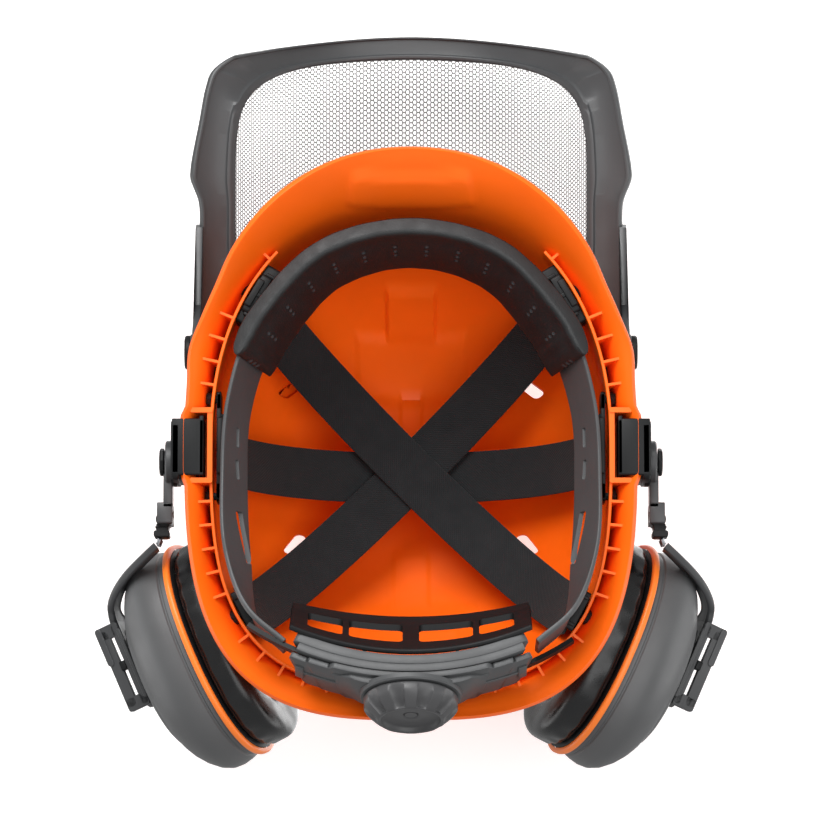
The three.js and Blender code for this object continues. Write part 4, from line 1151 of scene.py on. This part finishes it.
class HELMET_OT_nape(PieceOperator, bpy.types.Operator):
    """Nape unit: housing, cover, knob, screw, pad.

    Bars are rounded sections bent round the nape's arc. The knob is a profile turned about
    its axle whose radius dips ten times, least at the side and most at the slope.
    """

    bl_idname = "helmet.nape"
    bl_label = "Nape unit"

    def bar(self, name, outline_half, depths, taper=1, raw=True, steps=140):
        """A bent bar: half-height as a function of the arc position, between two depths."""
        x = np.linspace(-1, 1, steps)
        reach, half = outline_half(x)
        d0, d1 = depths(x)
        e = 0.6
        section = []
        for a, b, ea, eb in [(0, 0, e, 0), (0, 0, e * 0.3, e * 0.3), (0, 0, 0, e), (0, 1, 0, -e),
                             (0, 1, e * 0.3, -e * 0.3), (0, 1, e, 0)]:
            section.append((a, b, ea, eb))
        low = [(-half + ea, (d0 if not b else d1) + eb) for a, b, ea, eb in section]
        high = [(half - ea, (d0 if not b else d1) + eb) for a, b, ea, eb in section[::-1]]
        rings = np.stack([
            np.stack([reach, d + 0 * x, z + 0 * x], -1) for z, d in low + high
        ], 1)
        rings[..., 0] *= 1 - 0.0825 * (1 + rings[..., 2:][..., 0] / 17) * taper
        return loft(name, nape_bent(rings), raw=raw)

    def build(self, finish):
        def plain(reach, half, taper=0.0):
            def shape(x):
                end = np.clip((1 - np.abs(x)) / 0.06, 0, 1)
                return x * reach, half - taper * np.abs(x) ** 3 - 2.5 * (1 - np.sqrt(1 - (1 - end) ** 2))
            return shape

        def depth(a, b):
            return lambda x: (a + 0 * x, b + 0 * x)

        housing = [
            self.bar("back", plain(60, 17), depth(-7, -2.1)),
            self.bar("top", lambda x: (x * 60, 2.6 + 0 * x), depth(-2.4, 1.7)),
        ]
        lifted = []
        for verts, faces, uvs in housing[1:]:
            for shift in (14.2, -14.2):
                c, s = math.cos(NAPE_TILT), math.sin(NAPE_TILT)
                lifted.append((verts + [0, s * shift, c * shift], faces, uvs))
        for centre in (-48, -36, -24, 24, 36, 48):
            lifted.append(block(nape_bent, centre - 1, centre + 1, -9.2, -6.6, -13, 13, 0.8))
        piece = join_raw("nape_housing", [housing[0], *lifted])
        own(soften(piece, 0.0003), "helmet", finish("harness"), "harness_grey", ["ratchet_housing"])

        def cover_half(x):
            end = np.clip((1 - np.abs(x)) / 0.05, 0, 1)
            step = 2.6 * smooth_step(0.60, 0.66, np.abs(x)) + 1.2 * smooth_step(0.82, 0.85, np.abs(x))
            return x * 60, 17 - step - 2.2 * (1 - np.sqrt(1 - (1 - end) ** 2))

        def boss_half(x):
            return x * 38, 14.4 - 4.2 * smooth_step(0.72, 0.95, np.abs(x))

        cover = [
            self.bar("plate", cover_half, depth(2, 5)),
            self.bar("boss", boss_half, lambda x: (4.4 + 0 * x, 8.2 - 2.6 * smooth_step(0.55, 1, np.abs(x)))),
            self.bar("rib", lambda x: (x * 56, 0.8 + 0 * x), depth(4.6, 5.7)),
        ]

        def outwards(points):
            p = np.asarray(points)
            return nape_flat(np.stack([p[..., 0], p[..., 2], -p[..., 1]], -1))

        collar = [(5.5, 24.6), (7.6, 24.6), (8.4, 24.0), (8.5, 22.6)]
        cover.append(turned(outwards, collar, 96))
        for x in (-53, 53):
            cover.append(block(nape_bent, x - 2.2, x + 2.2, 4.6, 6.1, -6, 6, 1.0))
        piece = join_raw("nape_cover", cover)
        own(soften(piece, 0.0003), "helmet", finish("harness"), "harness_grey", ["ratchet_cover"])

        self.knob(outwards, finish)
        screw = [(10.0, 3.0), (10.6, 3.0), (11.0, 2.7), (11.2, 1.9), (10.7, 1.7), (10.6, 0.4)]
        piece = join_raw("knob_screw_head", [turned(outwards, screw, 32)])
        own(piece, "knob", finish("steel"), "spring_steel", ["knob_screw"])
        self.pad(finish)

    def knob(self, outwards, finish):
        turn = np.linspace(0, 2 * math.pi, 384, endpoint=False)
        profile = np.array([
            (8.7, 12), (8.7, 21.6), (9.0, 22.4), (9.8, 22.9), (11.0, 23), (12.6, 23), (13.6, 22.8),
            (14.6, 22.2), (16.2, 20.9), (18.0, 19.0), (19.6, 17.2), (20.4, 16.2), (20.6, 15.6),
            (20.5, 14.9), (20.2, 14.4), (18.4, 13.9), (17.8, 13.2), (17.6, 9), (17.6, 5), (17.5, 3.9),
            (17.2, 3.5), (12.0, 3.4), (10.2, 3.3),
        ])
        axial, radius = profile.T
        wave = np.clip((np.cos(10 * turn) + 0.1) / 1.1, 0, 1) ** 0.45
        outer = smooth_step(15.8, 17.8, radius) * smooth_step(9.6, 14.5, axial)
        r = radius[:, None] - 2.3 * wave * outer[:, None]
        h = axial[:, None] - 0.9 * wave * (outer * smooth_step(15.8, 18.5, axial))[:, None]
        rings = np.stack([r * np.cos(turn), r * np.sin(turn), h + 0 * r], -1)
        body = loft("ratchet_knob_moulding", outwards(rings), raw=True)
        plug = turned(outwards, [(15.6, 3.0), (17.3, 3.2), (17.45, 3.0)], 48)
        piece = join_raw("ratchet_knob_moulding", [body, plug], 40)
        own(piece, "knob", finish("knob"), "knob_grey", ["ratchet_knob"])

    def pad(self, finish):
        x = np.linspace(-58, 58, 121)
        bow = (x / 58) ** 2
        low = np.column_stack([x, 103 - 12 * bow, -36 + 0 * x])
        high = np.column_stack([x, 84 - 7 * bow, 3 + 0 * x])
        section = strip_section(44, 2.8, 1.2, 24)
        roll = np.exp(-(((section[:, 0] - 1) / 0.10) ** 2))
        section[:, 1] += roll * np.sign(section[:, 1]) * 1.3
        pad = loft("nape_pad_moulding", strip_rings(low, high, section))
        cutters = []
        for x0, x1 in [(-50, -33), (-30, -4), (4, 30), (33, 50)]:
            flat = rounded(x1 - x0, 21, 2.2) + [(x0 + x1) / 2, -16.5]
            rings = np.array([np.column_stack([flat[:, 0], np.full(len(flat), y), flat[:, 1]])
                              for y in (60, 130)])
            cutters.append(loft("window", rings))
        cut(pad, cutters)
        own(soften(pad, 0.0003), "helmet", finish("fitting"), "black_plastic", ["nape_pad"])


VISOR_OUTER = [
    [0, -125], [40, -124.8], [78, -124], [93, -122.5], [101, -118], [104, -110], [107.5, -88],
    [111.5, -62], [111.5, -57], [107.5, -46], [106.8, -38], [107.5, -20], [108, 4], [106, 17],
    [99, 22.5], [80, 24.4], [40, 24.8], [0, 25],
]


class HELMET_OT_visor(PieceOperator, bpy.types.Operator):
    """Visor frame and netting.

    The frame joins an inner superellipse to an outer free curve across a stepped section,
    on the bowed sheet. The netting is a honeycomb: each cell slopes from shared ridge
    corners down to its own six-sided hole at mid thickness, on both faces.
    """

    bl_idname = "helmet.visor"
    bl_label = "Visor"

    def build(self, finish):
        outer = np.array(VISOR_OUTER, float)
        outer = spline(np.vstack([outer, (outer * [-1, 1])[-2::-1]]), 10)[:-1]
        aim = np.arctan2((outer[:, 1] + 50) / 64, outer[:, 0] / 90)
        shape = 1 / (np.abs(np.cos(aim)) ** 5 + np.abs(np.sin(aim)) ** 5) ** 0.2
        inner = np.column_stack([90 * shape * np.cos(aim), -50 + 64 * shape * np.sin(aim)])
        section = np.array([
            (0.0, -1.4), (0.02, -1.9), (0.10, -2.2), (0.16, -2.1), (0.2, -1.5), (0.82, -1.5),
            (0.86, -2.0), (0.93, -2.2), (0.98, -1.7), (1.0, -0.9), (1.0, 1.4), (0.985, 2.6),
            (0.95, 3.0), (0.91, 2.9), (0.89, 1.6), (0.86, 1.3), (0.5, 1.1), (0.24, 1.3), (0.21, 1.7),
            (0.19, 2.5), (0.14, 2.8), (0.06, 2.6), (0.02, 2.1), (0.0, 1.2),
        ])
        flat = inner[:, None] + (outer - inner)[:, None] * section[None, :, :1]
        rings = visor_sheet(flat[..., 0], flat[..., 1], np.broadcast_to(section[:, 1], flat.shape[:2]))
        solids = [loft("frame", visor_raised(rings), wrap=True, raw=True)]
        solids += self.arms()
        frame_piece = join_raw("visor_frame_moulding", solids, 34)
        own(soften(frame_piece, 0.0003), "visor", finish("visor"), "visor_frame_grey", ["visor_frame"])
        self.netting(finish)

    def arms(self):
        """Side plates from the frame back to the pivot, with a raised boss round the pivot."""
        edge = np.array([
            [-56, 43], [-94, 16], [-95, -34], [-88, -32], [-74, 8], [-47, 24],
        ], float)
        turn = np.linspace(-0.95, 1.85, 16)
        hub = np.column_stack([-53 + 10 * np.cos(turn), 33 + 10 * np.sin(turn)])
        outline_yz = np.vstack([edge[:5], [[-50, 23.2]], hub])
        dense = []
        for a, b in zip(outline_yz, np.roll(outline_yz, -1, 0)):
            dense.append(a + (b - a) * np.linspace(0, 1, 5, endpoint=False)[:, None])
        flat = np.concatenate(dense)
        area = np.sum(flat[:, 0] * np.roll(flat[:, 1], -1) - flat[:, 1] * np.roll(flat[:, 0], -1))
        if area < 0:
            flat = flat[::-1]
        solids = []
        for side in (1, -1):
            def place(points, side=side):
                p = np.asarray(points)
                return visor_raised(np.stack([side * (107 + p[..., 2]), p[..., 0], p[..., 1]], -1))

            solids.append(slab("arm", flat, 3.8, 0.6, place, raw=True))
            boss = [(1.7, 9.2), (2.2, 9.2), (2.6, 8.8), (2.6, 4.5)]

            def centred(points, place=place):
                return place(np.asarray(points) + [-53, 33, 0])

            solids.append(turned(centred, boss, 40))
        return solids

    def netting(self, finish):
        size = sizes()
        pitch, wire = size.mesh_pitch * 1000, size.mesh_strand * 1000
        radius = pitch / math.sqrt(3)
        x_fine = np.linspace(0, 94, 2000)
        slope = 56 * 2.6 / 90 * (np.minimum(x_fine, 90) / 90) ** 1.6
        run = np.concatenate([[0], np.cumsum(np.sqrt(1 + slope**2))[:-1]]) * (x_fine[1] - x_fine[0])
        columns = int(run[-1] / (1.5 * radius)) + 1
        rows = int(68 / pitch) + 1
        i, j = np.meshgrid(np.arange(-columns, columns + 1), np.arange(-rows, rows + 1), indexing="ij")
        centre = np.stack([1.5 * radius * i, pitch * (j + 0.5 * (i % 2))], -1).reshape(-1, 2)
        x = np.sign(centre[:, 0]) * np.interp(np.abs(centre[:, 0]), run, x_fine)
        keep = (np.abs(x) / 92.6) ** 5 + (np.abs(centre[:, 1]) / 66.4) ** 5 < 1
        centre = centre[keep]
        turn = np.arange(6) * math.pi / 3
        ray = np.stack([np.cos(turn), np.sin(turn)], -1)
        corner = centre[:, None] + radius * ray
        hole = centre[:, None] + (radius - wire / math.sqrt(3)) * ray
        keys, index = np.unique(np.round(corner.reshape(-1, 2) * 50).astype(int), axis=0, return_inverse=True)
        index = index.reshape(-1, 6)
        unique_corner = np.zeros((len(keys), 2))
        unique_corner[index.ravel()] = corner.reshape(-1, 2)
        flat = np.vstack([unique_corner, unique_corner, hole.reshape(-1, 2)])
        n = len(keys)
        offset = np.concatenate([np.full(n, wire / 2), np.full(n, -wire / 2), np.zeros(hole.size // 2)])
        x = np.sign(flat[:, 0]) * np.interp(np.abs(flat[:, 0]), run, x_fine)
        verts = visor_raised(visor_sheet(x, flat[:, 1] - 50, offset))
        cell = 2 * n + np.arange(len(index) * 6).reshape(-1, 6)
        nxt = np.roll(index, -1, 1)
        cell_next = np.roll(cell, -1, 1)
        front = np.stack([index, nxt, cell_next, cell], -1).reshape(-1, 4)
        back = np.stack([nxt + n, index + n, cell, cell_next], -1).reshape(-1, 4)
        edge = np.stack([index, nxt], -1).reshape(-1, 2)
        code = edge[:, 0].astype(np.int64) * n + edge[:, 1]
        reverse = edge[:, 1].astype(np.int64) * n + edge[:, 0]
        lone = ~np.isin(code, reverse)
        rim = np.stack([edge[lone, 1], edge[lone, 0], edge[lone, 0] + n, edge[lone, 1] + n], -1)
        faces = np.concatenate([front, back, rim])
        uvs = np.zeros((faces.size, 2))
        net = finish_solid("visor_netting", verts, [faces], uvs, 50)
        own(net, "visor", finish("netting"), "visor_netting", ["visor_mesh"])


class HELMET_OT_muffs(PieceOperator, bpy.types.Operator):
    """Ear muffs.

    Cups, rings and cushions are ovals (long |cos|^0.92 by short |sin|^0.92) whose sizes
    follow a section profile; the cushion's skin puckers by sums of sines round its length.
    """

    bl_idname = "helmet.muffs"
    bl_label = "Ear muffs"

    CUP = [
        (0.2, 0, 0), (1.2, 0.6, 0.6), (4.2, 1.0, 0.9), (4.8, 0.5, 0.3), (5.4, 0.6, 0.4), (6.0, 1.6, 1.1),
        (9, 2.6, 1.7), (13, 3.4, 1.9), (17, 3.2, 1.2), (21, 1.4, -0.8), (25.5, -2.4, -3.8),
        (29, -6.6, -7.2), (31.5, -10.6, -10.6), (33.2, -14.4, -13.8), (33.9, -15.8, -14.9),
        (34.6, -16.4, -15.5), (36.0, -19.2, -18.2), (37.2, -22.6, -21.4), (37.9, -26.0, -24.5),
        (38.0, -29, -27.2), (37.4, -30, -28.2), (37.2, -38, -33),
    ]
    HOLLOW = [
        (33.5, -40, -34), (34.2, -25, -23), (30, -15, -13.5), (24, -8, -7.5), (16, -5, -5),
        (6, -4.4, -4.4), (0.6, -4.2, -4.2),
    ]

    def build(self, finish):
        for label, side in SIDES:
            place = muff_place(side)
            rings = [oval(d, CUP_LONG + a, CUP_SHORT + b) for d, a, b in self.CUP[::-1] + self.HOLLOW[::-1]]
            cup = loft(f"ear_cup_{label}_shell", place(np.array(rings)), sharp=36)
            body = f"{label}_cup"
            own(cup, body, finish("cup"), "ear_cup_grey", [f"ear_cup_{label}"])

            section = [(-1.5, 0.25), (-1.6, 1.6), (-1.2, 2.4), (-0.5, 2.8), (0.7, 2.8), (1.4, 2.5),
                       (1.7, 1.9), (1.7, 1.2), (1.0, 1.1), (-0.8, 0.25)]
            rings = [oval(d, CUP_LONG + a, CUP_SHORT + a) for d, a in section]
            ring = loft(f"cup_ring_{label}_bead", place(np.array(rings)), wrap=True)
            own(ring, body, finish("ring"), "trim_orange", [f"cup_trim_ring_{label}"])

            section = [(-2.1, -20), (-2.1, -0.6), (-1.7, 0),
                (-0.5, 0), (-0.1, -0.6), (-0.1, -20), (-0.9, -22)]
            rings = [oval(d, CUP_LONG + a, CUP_SHORT + a) for d, a in section]
            plate = loft(f"cushion_plate_{label}_moulding", place(np.array(rings)), wrap=True)
            own(plate, body, finish("fitting"), "black_plastic", [f"cushion_plate_{label}"])
            self.cushion(label, place, finish)
            self.foam(label, place, finish)
            self.foot(label, place, finish)
            self.arm(label, side, place, finish)

    def cushion(self, label, place, finish):
        around, across = 360, 44
        turn = np.linspace(0, 2 * math.pi, around, endpoint=False)[None]
        phase = np.linspace(0, 2 * math.pi, across, endpoint=False)[:, None]
        middle, half, depth = -10.6, 10.6, 8.3
        square = np.where(np.sin(phase) > 0, 0.35, 0.78)
        out = signed_power(np.cos(phase), square) * half
        rise = signed_power(np.sin(phase), square) * depth
        soft = 0.5 - 0.5 * np.sin(phase)
        pucker = 0.35 * np.sin(23 * turn + 2 * np.sin(3 * turn)) * np.exp(-(((rise - 5.5) / 3) ** 2))
        pucker = pucker + 0.25 * np.sin(11 * turn + phase) * soft * 0.6
        seam = -0.7 * np.exp(-(((rise - 6.4) / 0.8) ** 2)) * (out > 0)
        long = CUP_LONG + middle + out + pucker + seam
        short = CUP_SHORT + middle + out + pucker + seam
        d = -2.5 - (depth - rise) + 0.2 * np.sin(7 * turn + 1) * soft
        d = np.minimum(d, -2.35)
        y = long * signed_power(np.cos(turn), 0.92)
        z = short * signed_power(np.sin(turn), 0.92)
        rings = np.stack([np.broadcast_to(d, y.shape), y, z], -1)
        skin = loft(f"ear_cushion_{label}_skin", place(rings), wrap=True, sharp=70)
        own(skin, f"{label}_cup", finish("cushion"), "cushion_skin", [f"ear_cushion_{label}"])

    def foam(self, label, place, finish):
        levels = [(5.2, -30), (5.0, -10), (5.6, -7.0), (6.6, -6.2), (9, -6.0), (11.6, -6.2), (12.6, -7.0),
                  (13, -10), (13, -30)]
        rings = np.array([oval(d, CUP_LONG + a, CUP_SHORT + a, 96) for d, a in levels])
        wave = 0.35 * np.sin(rings[..., 1] / 4.1) * np.sin(rings[..., 2] / 3.7)
        rings[..., 0] += wave
        pad = loft(f"cup_foam_{label}_block", place(rings), sharp=60)
        own(pad, f"{label}_cup", finish("foam"), "cup_foam", [f"cup_foam_{label}"])

    def foot(self, label, place, finish):
        def across(points):
            p = np.asarray(points)
            return place(np.stack([p[..., 2], p[..., 0] + FOOT_AT, p[..., 1]], -1))

        peg = [(39.6, 2.6), (44.9, 2.6), (45.3, 3.2), (45.3, 5.2), (45.7, 5.6), (46.6, 5.6), (47.3, 5.0),
               (47.5, 3.4), (46.9, 3.0), (46.8, 0.5)]
        section = [(-8, 39.3), (-1.2, 38.3), (1.2, 38.3),
            (8, 39.3), (8, 40.1), (7.3, 40.8), (-7.3, 40.8), (-8, 40.1)]
        ends = [(-12, 0.86), (-11.2, 1), (11.2, 1), (12, 0.86)]
        wedge = np.array([[(d, y + FOOT_AT, z * k) for z, d in section] for y, k in ends])
        solids = [
            loft("foot", place(wedge), raw=True), turned(across, peg, 36),
            block(across, -2.4, 2.4, -10.6, -5.0, 45.2, 48.2, 0.8),
        ]
        piece = join_raw(f"cup_foot_{label}_moulding", solids)
        own(soften(piece, 0.0002), f"{label}_slider",
            finish("fitting"), "black_plastic", [f"cup_slider_{label}"])

    def arm(self, label, side, place, finish):
        """The arm's ribbon: a rounded section along its path, slotted where the peg rides."""
        start, end = (muff_place(1)([ARM_DEPTH, y, 0]) for y in (-34, 12))
        bend = spline([[125.5, 45, 27], [132, 50.5, 32], [140.5, 58, 42], [146.5, 65.5, 55],
                       [148.6, 72, 66], start], 12)
        straight = start + (end - start) * np.linspace(0, 1, 60)[1:, None]
        path = np.vstack([bend, straight])
        run = lengths(path)
        tip = np.clip((run[-1] - run) / 7, 0, 1)
        half = 7 * np.sqrt(np.clip(1 - (1 - tip) ** 2, 0.03, 1))
        half = half + 2.6 * smooth_step(run[-1] - 54, run[-1] - 46, run) * tip ** 0.3
        section = strip_section(14, 3.0, 0.8, 18)
        near = np.abs(section[:, 1]) > 1.4
        rib = sum(np.exp(-(((section[:, 0] - at) / 0.05) ** 2)) for at in (0.10, 0.90))
        section[:, 1] += np.sign(section[:, 1]) * near * rib * 0.5
        leaned = muff_place(1)(np.array([[0, 0, 1.0], [0, 0, 0]]))
        leaned = leaned[0] - leaned[1]
        share = smooth_step(0, len(bend), np.arange(len(path)))[:, None]
        up = unit(np.array([0, 0, 1.0]) * (1 - share) + leaned * share) * half[:, None]
        rings = strip_rings(path - up, path + up, section) * [side, 1, 1]
        arm = loft(f"muff_arm_{label}_moulding", rings)
        flat = rounded(36, 6.2, 3.0, 8) + [-11, 0]
        cutter = np.array([np.column_stack([np.full(len(flat), d), flat]) for d in (35, 55)])
        cut(arm, [loft("slot", place(cutter))])
        bars = [
            block(place, 41.6, 45.6, -33, 10, -9.4, -6.6, 1.2),
            block(place, 47.8, 53.4, -32, 9, -9.4, -6.2, 2.2),
            block(place, 41.6, 53.4, -34, -27, -9.4, -6.4, 1.6),
            block(place, 41.6, 53.4, 4, 11, -9.4, -6.4, 1.6),
            block(place, 50.6, 54.0, -34, -14, -10.2, -2.0, 1.6),
            block(place, 41.2, 43.0, -30, 7, -10.2, -9.0, 0.5),
        ]
        plate = join_raw(f"muff_arm_{label}_guide", bars, 30)
        own(soften(plate, 0.0003), f"{label}_arm", finish("arm"), "arm_grey", [f"muff_arm_{label}"])
        own(soften(arm, 0.0003), f"{label}_arm", finish("arm"), "arm_grey", [f"muff_arm_{label}"])


class HELMET_OT_fittings(PieceOperator, bpy.types.Operator):
    """Brackets, adaptors and hinges.

    Rounded blocks and turned bosses with ribs, in the helmet's axes, one side mirrored. The
    pins, wires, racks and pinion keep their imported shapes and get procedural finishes.
    """

    bl_idname = "helmet.fittings"
    bl_label = "Brackets and hinges"

    KEPT = {"spread_pin": "steel", "spring_wire_upper": "steel", "spring_wire_lower": "steel",
            "rack": "fitting"}

    def build(self, finish):
        for label, side in SIDES:
            def lying(points, side=side):
                """Plan in y and z, thickness along x."""
                p = np.asarray(points)
                return np.stack([side * p[..., 2], p[..., 0], p[..., 1]], -1)

            def at(y, z):
                return lambda points: lying(np.asarray(points) + [y, z, 0])

            def piece(name, solids, body, key, slot, node):
                obj = join_raw(f"{name}_{label}_moulding", solids, 30)
                own(soften(obj, 0.0003), body, finish(key), slot, [f"{node}_{label}"])

            bracket = [
                block(lying, -68, -38, 19, 47, 96, 102.4, 4.0),
                block(lying, -66, -40, 21, 45, 102, 104.6, 5.0),
                block(lying, -67, -39, 44, 46.6, 100, 105.2, 0.9),
                block(lying, -67, -39, 19.6, 22, 100, 105.2, 0.9),
                turned(at(-53, 33), [(103, 10), (104.6, 10), (104.8, 9.4), (104.9, 3.9), (109.2, 3.9)], 40),
                block(lying, -70, -64, 25, 41, 97, 103.6, 1.4),
                block(lying, -42, -36, 25, 41, 97, 103.6, 1.4),
            ]
            piece("visor_bracket", bracket, "helmet", "fitting", "black_plastic", "visor_bracket")
            cap = [(109.6, 8.0), (109.9, 8.5), (111.6, 8.5),
                (112.4, 7.9), (112.6, 6.9), (112.2, 6.4), (112.1, 1)]
            solids = [turned(at(-53, 33), cap, 48),
                block(at(-53, 33), -5.4, 5.4, -0.7, 0.7, 111.8, 112.6, 0.4)]
            piece("visor_pivot_cap", solids, "helmet", "fitting", "black_plastic", "visor_pivot_cap")
            adaptor = [
                block(lying, -16.5, 13, -3.3, 20, 101.5, 103.5, 1.2),
                block(lying, -15, 13, -3.3, -0.4, 101.5, 117, 1.0),
                block(lying, -15, 15, -3.3, 31, 113.6, 116.8, 3.4),
                block(lying, -13, 13, -1.4, 2.2, 112.0, 117.6, 0.8),
                block(lying, -14, -11.6, 0, 29, 111.8, 117.6, 0.8),
                block(lying, 11.8, 14.2, 2, 29, 111.8, 117.3, 0.8),
                block(lying, -13, 14, 28, 30.4, 112.2, 117.3, 0.8),
                turned(at(4, 18),
                [(115, 12.2), (116.9, 12.2), (117.3, 11.6), (117.35, 3.2), (121.3, 3.0)], 48),
            ]
            piece("muff_adaptor", adaptor, "helmet", "fitting", "black_plastic", "muff_adaptor")
            swing = [
                turned(at(4, 18), [(117.5, 9.8), (117.8, 10.6), (120.2, 10.6), (120.9, 10.0), (121, 8)], 48),
                block(lying, 2, 27.5, 16, 29.5, 117.5, 121, 2.6),
                block(lying, 6, 26, 27, 29.8, 117.5, 121.9, 0.9),
                block(lying, 8, 26, 15.8, 18.2, 117.5, 121.9, 0.9),
                block(lying, 24, 34.5, 31.3, 34.4, 117.4, 125, 1.0),
                block(lying, 24, 34.5, 15.6, 18.7, 117.4, 125, 1.0),
                block(lying, 24, 27.2, 15.6, 34.4, 117.4, 122, 1.0),
            ]
            piece("swing_plate", swing, f"{label}_swing", "arm", "arm_grey", "swing_plate")
            cap = [(121.6, 6.4), (121.9, 7), (123.2, 7), (123.9, 6.3), (124, 5.2), (123.4, 4.8), (123.3, 0.8)]
            piece("swing_cap", [turned(at(4, 18), cap, 8)],
                f"{label}_swing", "fitting", "black_plastic", "swing_cap")

            def barrel(points, side=side):
                p = np.asarray(points)
                return np.stack([side * (121.5 + p[..., 0]), 32 + p[..., 1], 25 + p[..., 2]], -1)

            knuckle = [
                turned(barrel, [(-6, 3.6), (-5.6, 4.2), (5.6, 4.2), (6, 3.6)], 36),
                block(barrel, -2, 4, 2, 9, -5.8, 5.8, 1.0),
                block(barrel, -2.6, 5.2, 5.6, 8.8, -6.2, 6.2, 1.0),
                block(barrel, -2.2, 4.4, 3.4, 4.6, -6.1, 6.1, 0.4),
            ]
            piece("arm_knuckle", knuckle, f"{label}_arm", "fitting", "black_plastic", "arm_knuckle")
            for stem, key in self.KEPT.items():
                self.dress(f"{stem}_{label}", finish(key))
        self.dress("ratchet_pinion", finish("fitting"))

    def dress(self, node, material):
        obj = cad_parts[node]
        obj.data.materials.clear()
        obj.data.materials.append(material)


class HELMET_OT_stage(PieceOperator, bpy.types.Operator):
    """Floor, backdrop, lights and camera.

    The camera looks up into the helmet from below, tilted 8 degrees towards the nape.
    """

    bl_idname = "helmet.stage"
    bl_label = "Stage"

    def build(self, finish):
        scene = bpy.context.scene
        world = bpy.data.worlds.new("studio")
        scene.world = world
        world.use_nodes = True
        shade = world.node_tree.nodes["Background"]
        shade.inputs["Color"].default_value = (1, 1, 1, 1)
        shade.inputs["Strength"].default_value = 0.5
        self.plane("floor", -0.0005, True)
        self.plane("backdrop", 0.206, False)
        target = np.array([2.0, -17.0, 0.0]) / 1000 + RIM_ORIGIN
        tilt = math.radians(8)
        towards = np.array([0, math.sin(tilt), -math.cos(tilt)])
        distance = sizes().camera_distance
        camera = bpy.data.objects.new("camera", bpy.data.cameras.new("camera"))
        scene.collection.objects.link(camera)
        forward = Vector(-towards)
        right = Vector((1, 0, 0))
        up = right.cross(forward).normalized()
        turn = Matrix((right, up, -forward)).transposed().to_4x4()
        camera.matrix_world = Matrix.Translation(Vector(target + towards * distance)) @ turn
        camera.data.sensor_width = 36
        camera.data.lens = 36 * distance / 0.4067
        camera.data.clip_start = 0.05
        camera.data.clip_end = 50
        scene.camera = camera
        centre = Vector(target)
        self.lamp("key_low_front", centre + Vector((-0.35, -0.9, -1.1)), 1.1, 26, centre)
        self.lamp("fill_low", centre + Vector((0.5, 0.35, -1.4)), 1.6, 13, centre)
        self.lamp("top_soft", centre + Vector((0.4, -0.5, 1.5)), 1.6, 14, centre)
        self.lamp("side_left", centre + Vector((1.3, 0.2, 0.3)), 1.2, 6, centre)
        self.lamp("side_right", centre + Vector((-1.3, 0.2, 0.3)), 1.2, 6, centre)
        scene.view_settings.view_transform = "Standard"

    def plane(self, name, height, from_above):
        """A large pale sheet seen from one side only."""
        g = Graph(name, colours().floor[:], 0.7)
        g.tone(g.noise(3, 3), 0.98, 1.02)
        g.bump(g.noise(400, 2), 0.00003)
        if not from_above:
            g.shader.inputs["Emission Color"].default_value = (1, 1, 1, 1)
            g.shader.inputs["Emission Strength"].default_value = 0.45
        geometry = g.nodes.new("ShaderNodeNewGeometry")
        clear = g.nodes.new("ShaderNodeBsdfTransparent")
        mix = g.nodes.new("ShaderNodeMixShader")
        output = g.nodes["Material Output"]
        g.link(geometry.outputs["Backfacing"], mix.inputs[0])
        g.link(g.shader.outputs[0], mix.inputs[1])
        g.link(clear.outputs[0], mix.inputs[2])
        g.link(mix.outputs[0], output.inputs["Surface"])
        half = 6.0
        order = [0, 1, 2, 3] if from_above else [0, 3, 2, 1]
        verts = np.array([[-half, -half, height],
            [half, -half, height], [half, half, height], [-half, half, height]])
        sheet = make_object(name, verts, [np.array([order])])
        sheet.data.materials.append(g.material)
        sheet.visible_shadow = False
        sheet.visible_diffuse = False
        sheet.visible_glossy = False

    def lamp(self, name, at, size, power, target):
        lamp = bpy.data.lights.new(name, "AREA")
        lamp.shape = "DISK"
        lamp.size = size
        lamp.energy = power
        obj = bpy.data.objects.new(name, lamp)
        bpy.context.scene.collection.objects.link(obj)
        obj.location = at
        obj.rotation_euler = (target - at).to_track_quat("-Z", "Y").to_euler()


class HELMET_PT_panel(bpy.types.Panel):
    """Lists the helmet's pieces, sizes and colours."""

    bl_idname = "HELMET_PT_panel"
    bl_label = "Forestry helmet"
    bl_space_type = "VIEW_3D"
    bl_region_type = "UI"
    bl_category = "Helmet"

    def draw(self, context):
        for operator in OPERATORS:
            self.layout.operator(operator.bl_idname)
        for group in (context.scene.helmet_sizes, context.scene.helmet_colours):
            for name in group.bl_rna.properties.keys():
                if name not in {"rna_type", "name"}:
                    self.layout.prop(group, name)


OPERATORS = (
    HELMET_OT_shell, HELMET_OT_headband, HELMET_OT_brow_pad, HELMET_OT_straps, HELMET_OT_clips,
    HELMET_OT_nape, HELMET_OT_visor, HELMET_OT_muffs, HELMET_OT_fittings, HELMET_OT_stage,
)
CLASSES = (HelmetSizes, HelmetColours, *OPERATORS, HELMET_PT_panel)


def register():
    for cls in CLASSES:
        bpy.utils.register_class(cls)
    bpy.types.Scene.helmet_sizes = PointerProperty(type=HelmetSizes)
    bpy.types.Scene.helmet_colours = PointerProperty(type=HelmetColours)


def unregister():
    del bpy.types.Scene.helmet_sizes
    del bpy.types.Scene.helmet_colours
    for cls in reversed(CLASSES):
        bpy.utils.unregister_class(cls)


def main():
    register()
    for operator in OPERATORS:
        group, name = operator.bl_idname.split(".")
        getattr(getattr(bpy.ops, group), name)()


if __name__ == "__main__":
    main()
